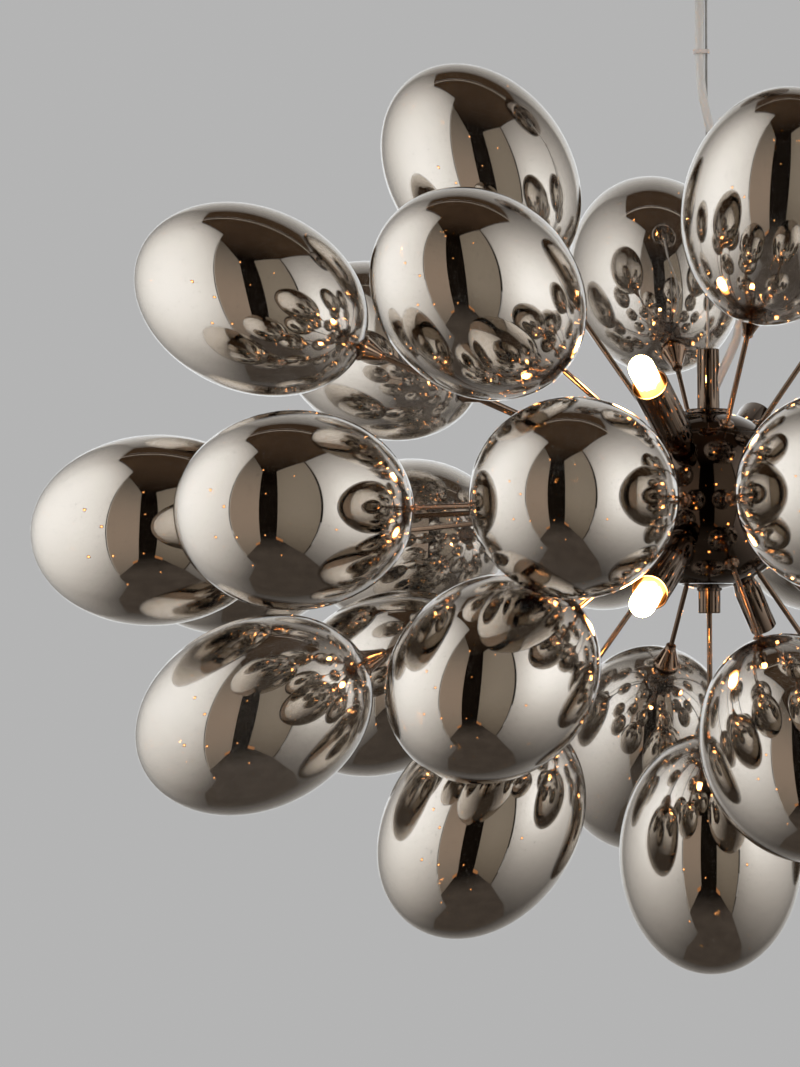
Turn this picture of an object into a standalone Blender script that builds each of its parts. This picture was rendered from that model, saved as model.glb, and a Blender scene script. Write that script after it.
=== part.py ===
"""Cluster pendant light.

A turned metal ball hangs under a ceiling rose on a thin steel wire. Straight rods leave the ball in
all directions, and each rod ends in an egg-shaped mirror-glass shade that a cone on the outside and
a flanged nut on the inside hold at its neck. Four small lamps in metal sleeves sit among the rods.
The origin is on the ceiling face, over the middle of the ball. +Z is up, lengths are in metres.
"""
import math

import bmesh
import bpy
from mathutils import Matrix, Vector

MM = 0.001

# The whole light
DROP = 358.0 * MM  # ceiling face down to the middle of the ball
GAP = 0.3 * MM  # clearance between pieces that seat on each other
OVERRUN = 2.0 * MM  # how far a cutter passes a face that it opens

# Glass shades
SHADE_ACROSS = 106.0 * MM
SHADE_LONG = 140.0 * MM
GLASS_WALL = 3.0 * MM
SHADE_SIDES = 10
SHADE_BANDS = 6
SHADE_INNER_BANDS = 4
REACH_SHARE = 1.35  # longest reach of a shade's middle, over its width and length together

# Rods with what holds a shade
ROD_RADIUS = 1.6 * MM
NUT_SIDES = 6
NECK_ROOM = 0.6 * MM  # room round a rod in the neck of the glass
COLLAR_RADIUS = 4.65 * MM
COLLAR_HEIGHT = 1.9 * MM
CONE_WIDE_RADIUS = 8.0 * MM
CONE_NARROW_RADIUS = 3.2 * MM
CONE_LENGTH = 14.0 * MM
CONE_LIP = 1.0 * MM
ARM_SIDES = 6
ARM_SUNK = 1.25 * MM  # how deep an arm's foot is set in the wall that carries it
FLANGE_RADIUS = 7.4 * MM
FLANGE_THICK = 1.4 * MM
ACORN_RADIUS = 3.5 * MM
ACORN_HEIGHT = 7.5 * MM
ACORN_TOP = 2.0 * MM

# Hollow ball and its cap
BALL_RADIUS = 52.0 * MM
BALL_WALL = 2.5 * MM
BALL_SIDES = 24
BALL_BANDS = 8
BALL_INNER_BANDS = 4
CAP_DEPTH = 13.4 * MM  # seam under the top of the ball's sphere
CAP_SEAM = BALL_RADIUS - CAP_DEPTH  # height of the seam over the middle of the ball
CAP_FLAT_DEPTH = 2.0 * MM
CAP_FLAT = BALL_RADIUS - CAP_FLAT_DEPTH  # height of the flat that the collar plate sits on
CAP_ROOF = 3.0 * MM
CAP_BANDS = 2
FOOT_DEPTH = 3.2 * MM
FOOT_SEAM = BALL_RADIUS - FOOT_DEPTH  # depth of the lower seam under the middle of the ball
SPIGOT_WALL = 2.0 * MM
SPIGOT_DEPTH = 3.2 * MM

# Stem on top of the ball, with its plate and nut
STEM_RADIUS = 6.6 * MM
STEM_WALL = 1.9 * MM
STEM_HEIGHT = 36.0 * MM
STEM_TOP = BALL_RADIUS + STEM_HEIGHT  # height over the middle of the ball
STEM_ROOF = 2.5 * MM
STEM_CHAMFER = 0.6 * MM
STEM_FLOOR = 3.0 * MM
STEM_SPIGOT_RADIUS = 5.0 * MM
STEM_SPIGOT_WALL = 1.6 * MM
STEM_SIDES = 16
PLATE_RADIUS = 14.0 * MM
PLATE_THICK = 2.5 * MM
PLATE_CHAMFER = 0.7 * MM
NUT_RADIUS = 8.6 * MM
NUT_THICK = 4.0 * MM

# Stub under the ball
STUB_RADIUS = 6.5 * MM
STUB_LENGTH = 14.0 * MM
STUB_BOTTOM = BALL_RADIUS + STUB_LENGTH  # depth under the middle of the ball
STUB_CHAMFER = 0.6 * MM
STUB_SHOULDER = 0.9 * MM
STUB_SIDES = 16

# Lamps in their sleeves
SLEEVE_RADIUS = 10.75 * MM
SLEEVE_WALL = 1.2 * MM
SLEEVE_BASE_RADIUS = 8.5 * MM
SLEEVE_TAPER = 10.0 * MM
SLEEVE_REACH = 120.0 * MM
SLEEVE_STAND_OFF = 4.0 * MM
SLEEVE_ROOM = 0.6 * MM  # least room between a sleeve and the nearest rod
NIPPLE_RADIUS = 4.0 * MM
NIPPLE_BORE = 2.4 * MM
NIPPLE_IN_BALL = 6.0 * MM
LAMP_SIDES = 10
HOLDER_HEIGHT = 16.0 * MM
HOLDER_BORE = 2.2 * MM
HOLDER_RECESS = 5.0 * MM
LAMP_RADIUS = 7.3 * MM
LAMP_BASE_RADIUS = 5.2 * MM
LAMP_BASE_LENGTH = 8.0 * MM
LAMP_SHOULDER = 2.5 * MM
LAMP_OUT = 22.0 * MM  # how far a long lamp stands out of its sleeve

# Wire and flex
WIRE_RADIUS = 0.75 * MM
WIRE_TAIL = 1.5 * MM
WIRE_SIDES = 8
FERRULE_RADIUS = 2.5 * MM
FERRULE_LENGTH = 5.0 * MM
FLEX_RADIUS = 2.65 * MM
FLEX_STEP = 8.5 * MM
FLEX_ROOM = 0.35 * MM
TIE_UNDER_CEILING = 96.0 * MM
TIE_ABOVE_BALL = DROP - TIE_UNDER_CEILING
TIE_HEIGHT = 2.4 * MM
TIE_WALL = 1.1 * MM
TIE_POINTS = 8
FLEX_ENTRY_PARTS = 3

# Fixing inside the ceiling rose
BASE_RADIUS = 44.0 * MM
BASE_THICK = 2.0 * MM
BASE_SIDES = 24
BASE_SCREW_OUT = 28.0 * MM
BASE_SCREW_HEAD = 4.0 * MM
BASE_SCREW_HEAD_HIGH = 2.4 * MM
TAB_WIDTH = 12.0 * MM
TAB_THICK = 1.6 * MM
TAB_LENGTH = 16.0 * MM
EYE_WIRE = 1.25 * MM
EYE_RADIUS = 5.0 * MM
EYE_LEG = 3.0 * MM
LINK_WIRE = 1.1 * MM
LINK_RADIUS = 4.2 * MM
LINK_STRAIGHT = 4.0 * MM
LINK_POINTS = 8
RING_WIRE = 1.2 * MM
RING_RADIUS = 3.6 * MM
RING_SUNK = 0.6 * MM
GRIP_RADIUS = 4.0 * MM
GRIP_LENGTH = 22.0 * MM
GRIP_CHAMFER = 0.6 * MM
GRIP_TIP_RADIUS = 2.4 * MM
GRIP_TIP_LENGTH = 5.0 * MM
GRIP_BORE_DEPTH = 20.0 * MM
GRIP_SIDES = 12
STRAP_BELOW_TOP = 5.2 * MM
STRAP_HEIGHT = 3.2 * MM
STRAP_WALL = 1.3 * MM
BLOCK_NEAR = 20.0 * MM
BLOCK_SIZE_X = 14.0 * MM
BLOCK_SIZE_Y = 24.0 * MM
BLOCK_SIZE_Z = 11.0 * MM
BLOCK_ENTRY_RADIUS = 2.0 * MM
BLOCK_ENTRY_DEPTH = 5.0 * MM
BLOCK_ENTRY_APART = 10.0 * MM
BLOCK_EDGE = 0.8 * MM
BLOCK_PEG_RADIUS = 1.6 * MM
BLOCK_PEG_LENGTH = 1.5 * MM

# Rose cover
ROSE_ROOM = 6.0 * MM
ROSE_RADIUS = BASE_RADIUS + ROSE_ROOM
ROSE_DEPTH = 36.0 * MM
ROSE_WALL = 1.2 * MM
ROSE_BEND = 6.0 * MM
ROSE_BEND_STEPS = 3
ROSE_HOLE = 12.5 * MM
ROSE_SIDES = 20
ROSE_SCREW_RADIUS = 2.0 * MM
ROSE_SCREW_DROP = 10.6 * MM
ROSE_SCREW_LENGTH = 12.0 * MM
ROSE_SCREW_HEAD = 3.6 * MM
ROSE_SCREW_HEAD_HIGH = 2.2 * MM

# Each arm's azimuth and elevation in degrees and its reach as a share of the longest reach.
# Azimuth 0 points to -Y and grows towards +X. The light repeats after half a turn.
PAIRED_ARM_SHARES = [
    (-16.0, -2.0, 0.762),
    (-44.0, -2.5, 0.946),
    (-67.5, -3.5, 1.0),
    (-106.0, -4.5, 0.903),
    (-130.0, -4.5, 0.744),
    (-32.0, 24.0, 0.759),
    (-80.5, 23.5, 0.873),
    (-119.5, 23.0, 0.756),
    (-29.0, -23.5, 0.774),
    (-66.5, -24.0, 0.909),
    (-113.5, -26.5, 0.717),
    (-93.0, 55.5, 0.705),
    (-55.5, -50.0, 0.726),
]
SINGLE_ARM_SHARES = [
    (15.0, -1.5, 0.789),
    (-165.0, -1.5, 0.789),
    (19.5, 53.5, 0.59),
    (-166.0, 47.5, 0.59),
    (20.5, -46.0, 0.59),
    (-162.0, -48.5, 0.59),
    (0.0, -90.0, 0.617),
]
# Each lamp's azimuth, elevation, reach, girth and how much of it shows, the last three as shares.
LAMP_SHARES = [
    (-21.0, 34.0, 0.917, 1.0, 1.0),
    (-18.0, -27.5, 1.0, 1.0, 1.0),
    (142.0, -55.0, 0.75, 0.74, 0.0),
    (163.0, 29.0, 0.917, 1.0, 0.0),
]
# Heights of the bulb's outline over its length of rounded end, and their radius.
BULB_END_SHARES = [(0.0, 1.0), (0.45, 0.9), (0.8, 0.6), (1.0, 0.0)]

# Route of the flex above the tie: out from the axis, forward, and under the ceiling.
FLEX_UPPER_ROUTE = [
    (-15.6 * MM, 0.0, -14.2 * MM),
    (-13.1 * MM, 0.0, -16.7 * MM),
    (-10.2 * MM, 0.0, -19.8 * MM),
    (-7.2 * MM, 0.0, -25.0 * MM),
    (-7.0 * MM, 0.0, -30.0 * MM),
    (-7.0 * MM, 0.0, -36.0 * MM),
    (-7.0 * MM, 0.0, -47.0 * MM),
    (-5.4 * MM, 0.0, -57.0 * MM),
    (-3.9 * MM, 0.0, -68.0 * MM),
    (-3.9 * MM, 0.0, -82.0 * MM),
]
# Route below it: out from the axis, forward, and how far up it is from the stem's top to the tie.
FLEX_LOWER_SHARES = [
    (-3.9 * MM, 0.0, 1.0),
    (-3.6 * MM, -1.3 * MM, 0.931),
    (-2.3 * MM, -3.8 * MM, 0.8506),
    (1.6 * MM, -5.0 * MM, 0.7471),
    (8.0 * MM, -5.4 * MM, 0.6207),
    (14.6 * MM, -5.4 * MM, 0.4713),
    (19.0 * MM, -5.0 * MM, 0.3103),
    (19.8 * MM, -4.2 * MM, 0.1724),
    (17.8 * MM, -2.6 * MM, 0.0632),
]
# The flex runs straight through the stem's wall, from the first point to the second.
ENTRY_TOP_DROP = 1.0 * MM
ENTRY_END_DROP = 26.5 * MM
FLEX_ENTRY_ROUTE = [
    (13.9 * MM, -1.0 * MM, STEM_TOP - ENTRY_TOP_DROP),
    (2.2 * MM, -1.0 * MM, STEM_TOP - ENTRY_END_DROP),
]

SMOOTH_ANGLE = math.radians(35.0)
MERGE = 0.01 * MM
ROUTE_PARTS = 24  # points of a smooth route between two of the points that it is given by
LEAST_ROUTE = 2  # fewest pieces of a smooth route
STRAIGHT_DOWN = 0.0001  # an arm whose way is this near to -Z stands on the stub

SURFACES = {
    "black_chrome": ((0.052, 0.043, 0.038, 1.0), 0.16, 1.0),
    "chrome": ((0.62, 0.61, 0.60, 1.0), 0.12, 1.0),
    "zinc_steel": ((0.55, 0.55, 0.54, 1.0), 0.38, 1.0),
    "wire_steel": ((0.50, 0.50, 0.50, 1.0), 0.32, 1.0),
    "mirror_glass": ((0.34, 0.31, 0.29, 1.0), 0.03, 0.9),
    "lamp_glass": ((0.98, 0.90, 0.76, 1.0), 0.25, 0.0),
    "lamp_ceramic": ((0.86, 0.84, 0.80, 1.0), 0.55, 0.0),
    "clear_flex": ((0.78, 0.74, 0.67, 1.0), 0.25, 0.0),
    "clear_tie": ((0.80, 0.70, 0.62, 1.0), 0.35, 0.0),
    "block_plastic": ((0.85, 0.85, 0.82, 1.0), 0.5, 0.0),
}


def clear_scene():
    for obj in list(bpy.data.objects):
        bpy.data.objects.remove(obj, do_unlink=True)


def new_collection(name):
    collection = bpy.data.collections.new(name)
    bpy.context.scene.collection.children.link(collection)
    return collection


def material(name):
    found = bpy.data.materials.get(name)
    if found:
        return found
    colour, roughness, metallic = SURFACES[name]
    made = bpy.data.materials.new(name)
    made.use_nodes = True
    shader = made.node_tree.nodes["Principled BSDF"]
    shader.inputs["Base Color"].default_value = colour
    shader.inputs["Roughness"].default_value = roughness
    shader.inputs["Metallic"].default_value = metallic
    made.diffuse_color = colour
    return made


def add_object(name, mesh, surface, matrix=None):
    """Put a mesh in the model as one named piece."""
    obj = bpy.data.objects.new(name, mesh)
    PARTS.objects.link(obj)
    if not mesh.materials:
        mesh.materials.append(material(surface))
    if matrix is not None:
        obj.matrix_world = matrix
    return obj


def add_cutter(name, mesh, matrix=None):
    obj = bpy.data.objects.new(name, mesh)
    CUTTERS.objects.link(obj)
    obj.hide_render = True
    obj.display_type = "WIRE"
    if matrix is not None:
        obj.matrix_world = matrix
    return obj


def bake(obj):
    """The object's mesh with its modifiers, shaded smooth but for its edges."""
    bpy.context.view_layer.update()
    depsgraph = bpy.context.evaluated_depsgraph_get()
    mesh = bpy.data.meshes.new_from_object(obj.evaluated_get(depsgraph))
    mesh.shade_smooth()
    mesh.set_sharp_from_angle(angle=SMOOTH_ANGLE)
    return mesh


def turned(name, profile, sides, closed=True):
    """Turn an outline of radii and heights, which runs down its outer side, about the Z axis."""
    mesh = bpy.data.meshes.new(name)
    bm = bmesh.new()
    verts = [bm.verts.new((radius, 0.0, height)) for radius, height in profile]
    for first, second in zip(verts, verts[1:]):
        bm.edges.new((first, second))
    if closed:
        bm.edges.new((verts[-1], verts[0]))
    bm.to_mesh(mesh)
    bm.free()
    blank = bpy.data.objects.new(name, mesh)
    PARTS.objects.link(blank)
    screw = blank.modifiers.new("turn", "SCREW")
    screw.axis = "Z"
    screw.angle = math.tau
    screw.steps = sides
    screw.render_steps = sides
    screw.use_merge_vertices = True
    screw.merge_threshold = MERGE
    screw.use_smooth_shade = True
    result = bake(blank)
    result.name = name
    bpy.data.objects.remove(blank, do_unlink=True)
    return result


def prism(name, radius, bottom, top, sides):
    """A straight bar along Z between two heights."""
    mesh = bpy.data.meshes.new(name)
    bm = bmesh.new()
    middle = Matrix.Translation((0.0, 0.0, (bottom + top) / 2))
    bmesh.ops.create_cone(bm, cap_ends=True, segments=sides, radius1=radius, radius2=radius,
                          depth=top - bottom, matrix=middle)
    bm.to_mesh(mesh)
    bm.free()
    mesh.shade_smooth()
    mesh.set_sharp_from_angle(angle=SMOOTH_ANGLE)
    return mesh


def box(name, size_x, size_y, size_z, centre):
    mesh = bpy.data.meshes.new(name)
    bm = bmesh.new()
    matrix = Matrix.Translation(centre) @ Matrix.Diagonal((size_x, size_y, size_z, 1.0))
    bmesh.ops.create_cube(bm, size=1.0, matrix=matrix)
    bm.to_mesh(mesh)
    bm.free()
    return mesh


def group(name, placed):
    """One mesh out of copies that stay separate solids, such as all the rods."""
    bm = bmesh.new()
    for mesh, matrix in placed:
        copy = mesh.copy()
        copy.transform(matrix)
        bm.from_mesh(copy)
        bpy.data.meshes.remove(copy)
    mesh = bpy.data.meshes.new(name)
    bm.to_mesh(mesh)
    bm.free()
    return mesh


def boolean(obj, cutter, operation="DIFFERENCE"):
    modifier = obj.modifiers.new(cutter.name, "BOOLEAN")
    modifier.operation = operation
    modifier.solver = "EXACT"
    modifier.object = cutter
    return modifier


def settle(obj):
    """Keep an object's Booleans as its mesh, with smooth shading."""
    mesh = bake(obj)
    obj.modifiers.clear()
    obj.data = mesh


def wire_mesh(name, points, radius, resolution, cyclic=False):
    """A tube along points, as a mesh."""
    curve = bpy.data.curves.new(name, "CURVE")
    curve.dimensions = "3D"
    curve.bevel_depth = radius
    curve.bevel_resolution = resolution
    curve.use_fill_caps = not cyclic
    spline = curve.splines.new("POLY")
    spline.points.add(len(points) - 1)
    for target, point in zip(spline.points, points):
        target.co = (point[0], point[1], point[2], 1.0)
    spline.use_cyclic_u = cyclic
    blank = bpy.data.objects.new(name, curve)
    PARTS.objects.link(blank)
    bpy.context.view_layer.update()
    depsgraph = bpy.context.evaluated_depsgraph_get()
    mesh = bpy.data.meshes.new_from_object(blank.evaluated_get(depsgraph))
    bm = bmesh.new()
    bm.from_mesh(mesh)
    bmesh.ops.remove_doubles(bm, verts=bm.verts, dist=MERGE)
    bmesh.ops.recalc_face_normals(bm, faces=bm.faces)
    bm.to_mesh(mesh)
    bm.free()
    bpy.data.objects.remove(blank, do_unlink=True)
    mesh.shade_smooth()
    mesh.set_sharp_from_angle(angle=SMOOTH_ANGLE)
    mesh.materials.clear()
    return mesh


def flat_piece(name, outlines, height, matrix):
    """A flat piece cut to closed outlines in the XY plane, the later ones being its holes."""
    curve = bpy.data.curves.new(name, "CURVE")
    curve.dimensions = "2D"
    curve.fill_mode = "BOTH"
    curve.extrude = height / 2
    for outline in outlines:
        spline = curve.splines.new("POLY")
        spline.points.add(len(outline) - 1)
        for target, point in zip(spline.points, outline):
            target.co = (point[0], point[1], 0.0, 1.0)
        spline.use_cyclic_u = True
    blank = bpy.data.objects.new(name, curve)
    PARTS.objects.link(blank)
    bpy.context.view_layer.update()
    depsgraph = bpy.context.evaluated_depsgraph_get()
    mesh = bpy.data.meshes.new_from_object(blank.evaluated_get(depsgraph))
    bm = bmesh.new()
    bm.from_mesh(mesh)
    bmesh.ops.remove_doubles(bm, verts=bm.verts, dist=MERGE)
    bmesh.ops.recalc_face_normals(bm, faces=bm.faces)
    bm.to_mesh(mesh)
    bm.free()
    bpy.data.objects.remove(blank, do_unlink=True)
    mesh.transform(matrix)
    mesh.materials.clear()
    return mesh


def smooth_route(points, after, step):
    """Points at even steps along a smooth curve through the given points, bound for one after."""
    knots = [Vector(point) for point in points]
    knots = [2 * knots[0] - knots[1]] + knots + [Vector(after)]
    fine = []
    for before, start, end, beyond in zip(knots, knots[1:], knots[2:], knots[3:]):
        for i in range(ROUTE_PARTS):
            t = i / ROUTE_PARTS
            fine.append(0.5 * (2 * start + (end - before) * t
                               + (2 * before - 5 * start + 4 * end - beyond) * t ** 2
                               + (3 * start - before - 3 * end + beyond) * t ** 3))
    fine.append(knots[-2])
    lengths = [0.0]
    for first, second in zip(fine, fine[1:]):
        lengths.append(lengths[-1] + (second - first).length)
    count = max(LEAST_ROUTE, round(lengths[-1] / step))
    route = []
    at = 0
    for i in range(count + 1):
        wanted = lengths[-1] * i / count
        while at < len(lengths) - 2 and lengths[at + 1] < wanted:
            at += 1
        part = (wanted - lengths[at]) / (lengths[at + 1] - lengths[at])
        route.append(fine[at].lerp(fine[at + 1], part))
    return route


def direction(azimuth, elevation):
    """The way an arm points: azimuth 0 is -Y and grows towards +X."""
    turn = math.radians(azimuth)
    lift = math.radians(elevation)
    return Vector((math.sin(turn) * math.cos(lift), -math.cos(turn) * math.cos(lift),
                   math.sin(lift)))


def arm_matrix(way):
    """Places a piece modelled along +Z from the middle of the ball on an arm's line."""
    return BALL @ way.to_track_quat("Z", "Y").to_matrix().to_4x4()


def arc(radius, first, last, parts, height=0.0, inset=0.0):
    """Outline points on a circle about the Z axis, from one elevation to another."""
    points = []
    for i in range(parts + 1):
        angle = first + (last - first) * i / parts
        points.append((inset + radius * math.cos(angle), height + radius * math.sin(angle)))
    return points


def shade_profile():
    """Outline of a shade about its own middle, with its neck at the bottom."""
    half_wide = SHADE_ACROSS / 2
    half_long = SHADE_LONG / 2
    neck = ROD_RADIUS + NECK_ROOM
    outer = []
    for i in range(SHADE_BANDS):
        angle = math.pi * i / SHADE_BANDS
        outer.append((half_wide * math.sin(angle), half_long * math.cos(angle)))
    inner = []
    for i in range(SHADE_INNER_BANDS):
        angle = math.pi * i / SHADE_INNER_BANDS
        inner.append(((half_wide - GLASS_WALL) * math.sin(angle),
                      (half_long - GLASS_WALL) * math.cos(angle)))
    outer.append((neck, -half_long))
    inner.append((neck, GLASS_WALL - half_long))
    return outer + inner[::-1]


def build_shades(arms):
    mesh = turned("shade", shade_profile(), SHADE_SIDES, closed=False)
    for number, (way, reach) in enumerate(arms, start=1):
        matrix = arm_matrix(way) @ Matrix.Translation((0.0, 0.0, reach))
        hang(add_object(f"shade_{number:02d}", mesh, "mirror_glass", matrix))


def arm_mesh(foot, reach):
    """A rod with its collar, the cone under the shade and the flanged nut inside its neck."""
    neck = reach - SHADE_LONG / 2
    lip = reach - SHADE_LONG / 2 * math.sqrt(1 - (2 * CONE_WIDE_RADIUS / SHADE_ACROSS) ** 2)
    band = math.pi / SHADE_INNER_BANDS
    slope_radius = (SHADE_ACROSS / 2 - GLASS_WALL) * math.sin(band)
    slope_height = (SHADE_LONG / 2 - GLASS_WALL) * (1 - math.cos(band))
    seat = neck + GLASS_WALL + slope_height * FLANGE_RADIUS / slope_radius + GAP
    collar_top = foot + COLLAR_HEIGHT
    return turned("arm", [
        (0.0, seat + ACORN_HEIGHT),
        (ACORN_RADIUS, seat + ACORN_HEIGHT - ACORN_TOP),
        (FLANGE_RADIUS, seat + FLANGE_THICK),
        (FLANGE_RADIUS, seat),
        (ROD_RADIUS, seat),
        (ROD_RADIUS, neck - GAP),
        (CONE_WIDE_RADIUS, lip - GAP),
        (CONE_WIDE_RADIUS, lip - GAP - CONE_LIP),
        (CONE_NARROW_RADIUS, neck - CONE_LENGTH),
        (ROD_RADIUS, neck - CONE_LENGTH),
        (ROD_RADIUS, collar_top),
        (COLLAR_RADIUS, collar_top),
        (COLLAR_RADIUS, foot - ARM_SUNK),
        (0.0, foot - ARM_SUNK),
    ], ARM_SIDES, closed=False)


def arms_union(name, arms, foot):
    """One object with the arms that a piece of the ball carries, to join to that piece."""
    placed = [(arm_mesh(foot, reach), arm_matrix(way)) for way, reach in arms]
    return add_cutter(name, group(name, placed))


def near_seam(way):
    return abs(way.z * BALL_RADIUS - CAP_SEAM) < COLLAR_RADIUS + GAP


def collar_room(name, arms):
    """Room for the collars that stand across the seam between the ball and its cap."""
    room = prism("collar_room", COLLAR_RADIUS + GAP, BALL_RADIUS - CAP_ROOF - OVERRUN,
                 BALL_RADIUS + COLLAR_HEIGHT + OVERRUN, LAMP_SIDES)
    return add_cutter(name, group(name, [(room, arm_matrix(way)) for way, reach in arms]))


def build_ball(arms, lamps):
    """The hollow ball, its cap and its stub, each with the rods that it carries."""
    inner_radius = BALL_RADIUS - BALL_WALL
    cap_arms = [arm for arm in arms if arm[0].z * BALL_RADIUS > CAP_SEAM]
    stub_arms = [arm for arm in arms if abs(arm[0].z + 1) < STRAIGHT_DOWN]
    ball_arms = [arm for arm in arms if arm not in cap_arms and arm not in stub_arms]

    seam = CAP_SEAM - GAP / 2
    foot = FOOT_SEAM - GAP / 2
    outer = arc(BALL_RADIUS, math.asin(seam / BALL_RADIUS), -math.asin(foot / BALL_RADIUS),
                BALL_BANDS)
    inner = arc(inner_radius, -math.asin(foot / inner_radius), math.asin(seam / inner_radius),
                BALL_INNER_BANDS)
    shell = add_object("ball", turned("ball", outer + inner, BALL_SIDES), "black_chrome", BALL)
    lamp_hole = prism("lamp_hole", NIPPLE_RADIUS + GAP, BALL_RADIUS - NIPPLE_IN_BALL,
                      BALL_RADIUS + OVERRUN, LAMP_SIDES)
    holes = group("lamp_holes", [(lamp_hole, arm_matrix(lamp["way"])) for lamp in lamps])
    boolean(shell, add_cutter("lamp_holes", holes))
    across = [arm for arm in cap_arms if near_seam(arm[0])]
    if across:
        boolean(shell, collar_room("cap_collar_room", across))
    boolean(shell, arms_union("ball_arms", ball_arms, BALL_RADIUS), "UNION")
    settle(shell)
    hang(shell)

    seam = CAP_SEAM + GAP / 2
    outer = arc(BALL_RADIUS, math.asin(CAP_FLAT / BALL_RADIUS), math.asin(seam / BALL_RADIUS),
                CAP_BANDS)
    spigot = math.sqrt(inner_radius ** 2 - seam ** 2) * math.cos(math.pi / BALL_SIDES) - GAP
    roof = CAP_FLAT - CAP_ROOF
    roof_edge = math.sqrt((BALL_RADIUS - CAP_ROOF) ** 2 - roof ** 2)
    hole = STEM_SPIGOT_RADIUS + GAP
    cap = add_object("ball_cap", turned("ball_cap", [(hole, CAP_FLAT)] + outer + [
        (spigot, seam),
        (spigot, seam - SPIGOT_DEPTH),
        (spigot - SPIGOT_WALL, seam - SPIGOT_DEPTH),
        (spigot - SPIGOT_WALL, seam),
        (roof_edge, roof),
        (hole, roof),
    ], BALL_SIDES), "black_chrome", BALL)
    across = [arm for arm in ball_arms if near_seam(arm[0])]
    if across:
        boolean(cap, collar_room("ball_collar_room", across))
    boolean(cap, arms_union("cap_arms", cap_arms, BALL_RADIUS), "UNION")
    settle(cap)
    hang(cap)

    foot = FOOT_SEAM + GAP / 2
    flange = math.sqrt(BALL_RADIUS ** 2 - foot ** 2)
    spigot = math.sqrt(inner_radius ** 2 - foot ** 2) * math.cos(math.pi / STUB_SIDES) - GAP
    curve = arc(BALL_RADIUS, -math.asin(foot / BALL_RADIUS),
                -math.acos((STUB_RADIUS + STUB_SHOULDER) / BALL_RADIUS), CAP_BANDS)
    stub = add_object("ball_stub", turned("ball_stub", [
        (0.0, SPIGOT_DEPTH - foot),
        (spigot, SPIGOT_DEPTH - foot),
        (spigot, -foot),
        (flange, -foot),
    ] + curve[1:] + [
        (STUB_RADIUS, -BALL_RADIUS - STUB_SHOULDER),
        (STUB_RADIUS, STUB_CHAMFER - STUB_BOTTOM),
        (STUB_RADIUS - STUB_CHAMFER, -STUB_BOTTOM),
        (0.0, -STUB_BOTTOM),
    ], STUB_SIDES, closed=False), "black_chrome", BALL)
    boolean(stub, arms_union("stub_arms", stub_arms, STUB_BOTTOM), "UNION")
    settle(stub)
    hang(stub)


def build_stem():
    """The tube over the ball that takes the wire and the flex, with its plate and nut."""
    hole = STEM_SPIGOT_RADIUS + GAP
    plate_foot = CAP_FLAT + GAP
    plate_top = plate_foot + PLATE_THICK
    plate = turned("stem_plate", [
        (hole, plate_top),
        (PLATE_RADIUS - PLATE_CHAMFER, plate_top),
        (PLATE_RADIUS, plate_top - PLATE_CHAMFER),
        (PLATE_RADIUS, plate_foot),
        (hole, plate_foot),
    ], STEM_SIDES)
    hang(add_object("stem_plate", plate, "black_chrome", BALL))

    nut_top = CAP_FLAT - CAP_ROOF - GAP
    nut_bore = hole / math.cos(math.pi / NUT_SIDES)
    nut = turned("stem_nut", [
        (nut_bore, nut_top),
        (NUT_RADIUS, nut_top),
        (NUT_RADIUS, nut_top - NUT_THICK),
        (nut_bore, nut_top - NUT_THICK),
    ], NUT_SIDES)
    hang(add_object("stem_nut", nut, "zinc_steel", BALL))

    wire_hole = WIRE_RADIUS + GAP
    shoulder = plate_top + GAP
    spigot_end = nut_top - NUT_THICK - GAP
    tube = turned("stem", [
        (wire_hole, STEM_TOP),
        (STEM_RADIUS - STEM_CHAMFER, STEM_TOP),
        (STEM_RADIUS, STEM_TOP - STEM_CHAMFER),
        (STEM_RADIUS, shoulder),
        (STEM_SPIGOT_RADIUS, shoulder),
        (STEM_SPIGOT_RADIUS, spigot_end),
        (STEM_SPIGOT_RADIUS - STEM_SPIGOT_WALL, spigot_end),
        (STEM_SPIGOT_RADIUS - STEM_SPIGOT_WALL, shoulder + STEM_FLOOR),
        (STEM_RADIUS - STEM_WALL, shoulder + STEM_FLOOR),
        (STEM_RADIUS - STEM_WALL, STEM_TOP - STEM_ROOF),
        (wire_hole, STEM_TOP - STEM_ROOF),
    ], STEM_SIDES)
    stem = add_object("stem", tube, "black_chrome", BALL)
    start, end = [Vector(point) for point in FLEX_ENTRY_ROUTE]
    length = (end - start).length
    turn = (end - start).to_track_quat("Z", "Y").to_matrix().to_4x4()
    entry = prism("flex_entry", FLEX_RADIUS + FLEX_ROOM, 0.0, length + FLEX_ROOM, LAMP_SIDES)
    boolean(stem, add_cutter("flex_entry", entry, BALL @ Matrix.Translation(start) @ turn))
    settle(stem)
    hang(stem)


def lamp_places(arms):
    """Each lamp's line, sleeve and bulb, measured from the middle of the ball."""
    lamps = []
    for azimuth, elevation, reach_share, girth_share, out_share in LAMP_SHARES:
        way = direction(azimuth, elevation)
        nearest = min(way.angle(other) for other, reach in arms)
        girth = SLEEVE_RADIUS * girth_share
        base = SLEEVE_BASE_RADIUS * girth_share
        room = (ROD_RADIUS + SLEEVE_ROOM) / math.cos(nearest)
        start = max(BALL_RADIUS + SLEEVE_STAND_OFF, (base + room) / math.tan(nearest))
        full = max(start + SLEEVE_TAPER * girth_share, (girth + room) / math.tan(nearest))
        mouth = SLEEVE_REACH * reach_share
        lamps.append({
            "way": way, "girth": girth, "base": base, "start": start, "full": full,
            "mouth": mouth, "tip": mouth + LAMP_OUT * out_share,
            "bulb": LAMP_RADIUS * girth_share, "cap": LAMP_BASE_RADIUS * girth_share,
            "holder": HOLDER_HEIGHT * girth_share,
        })
    return lamps


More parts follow.
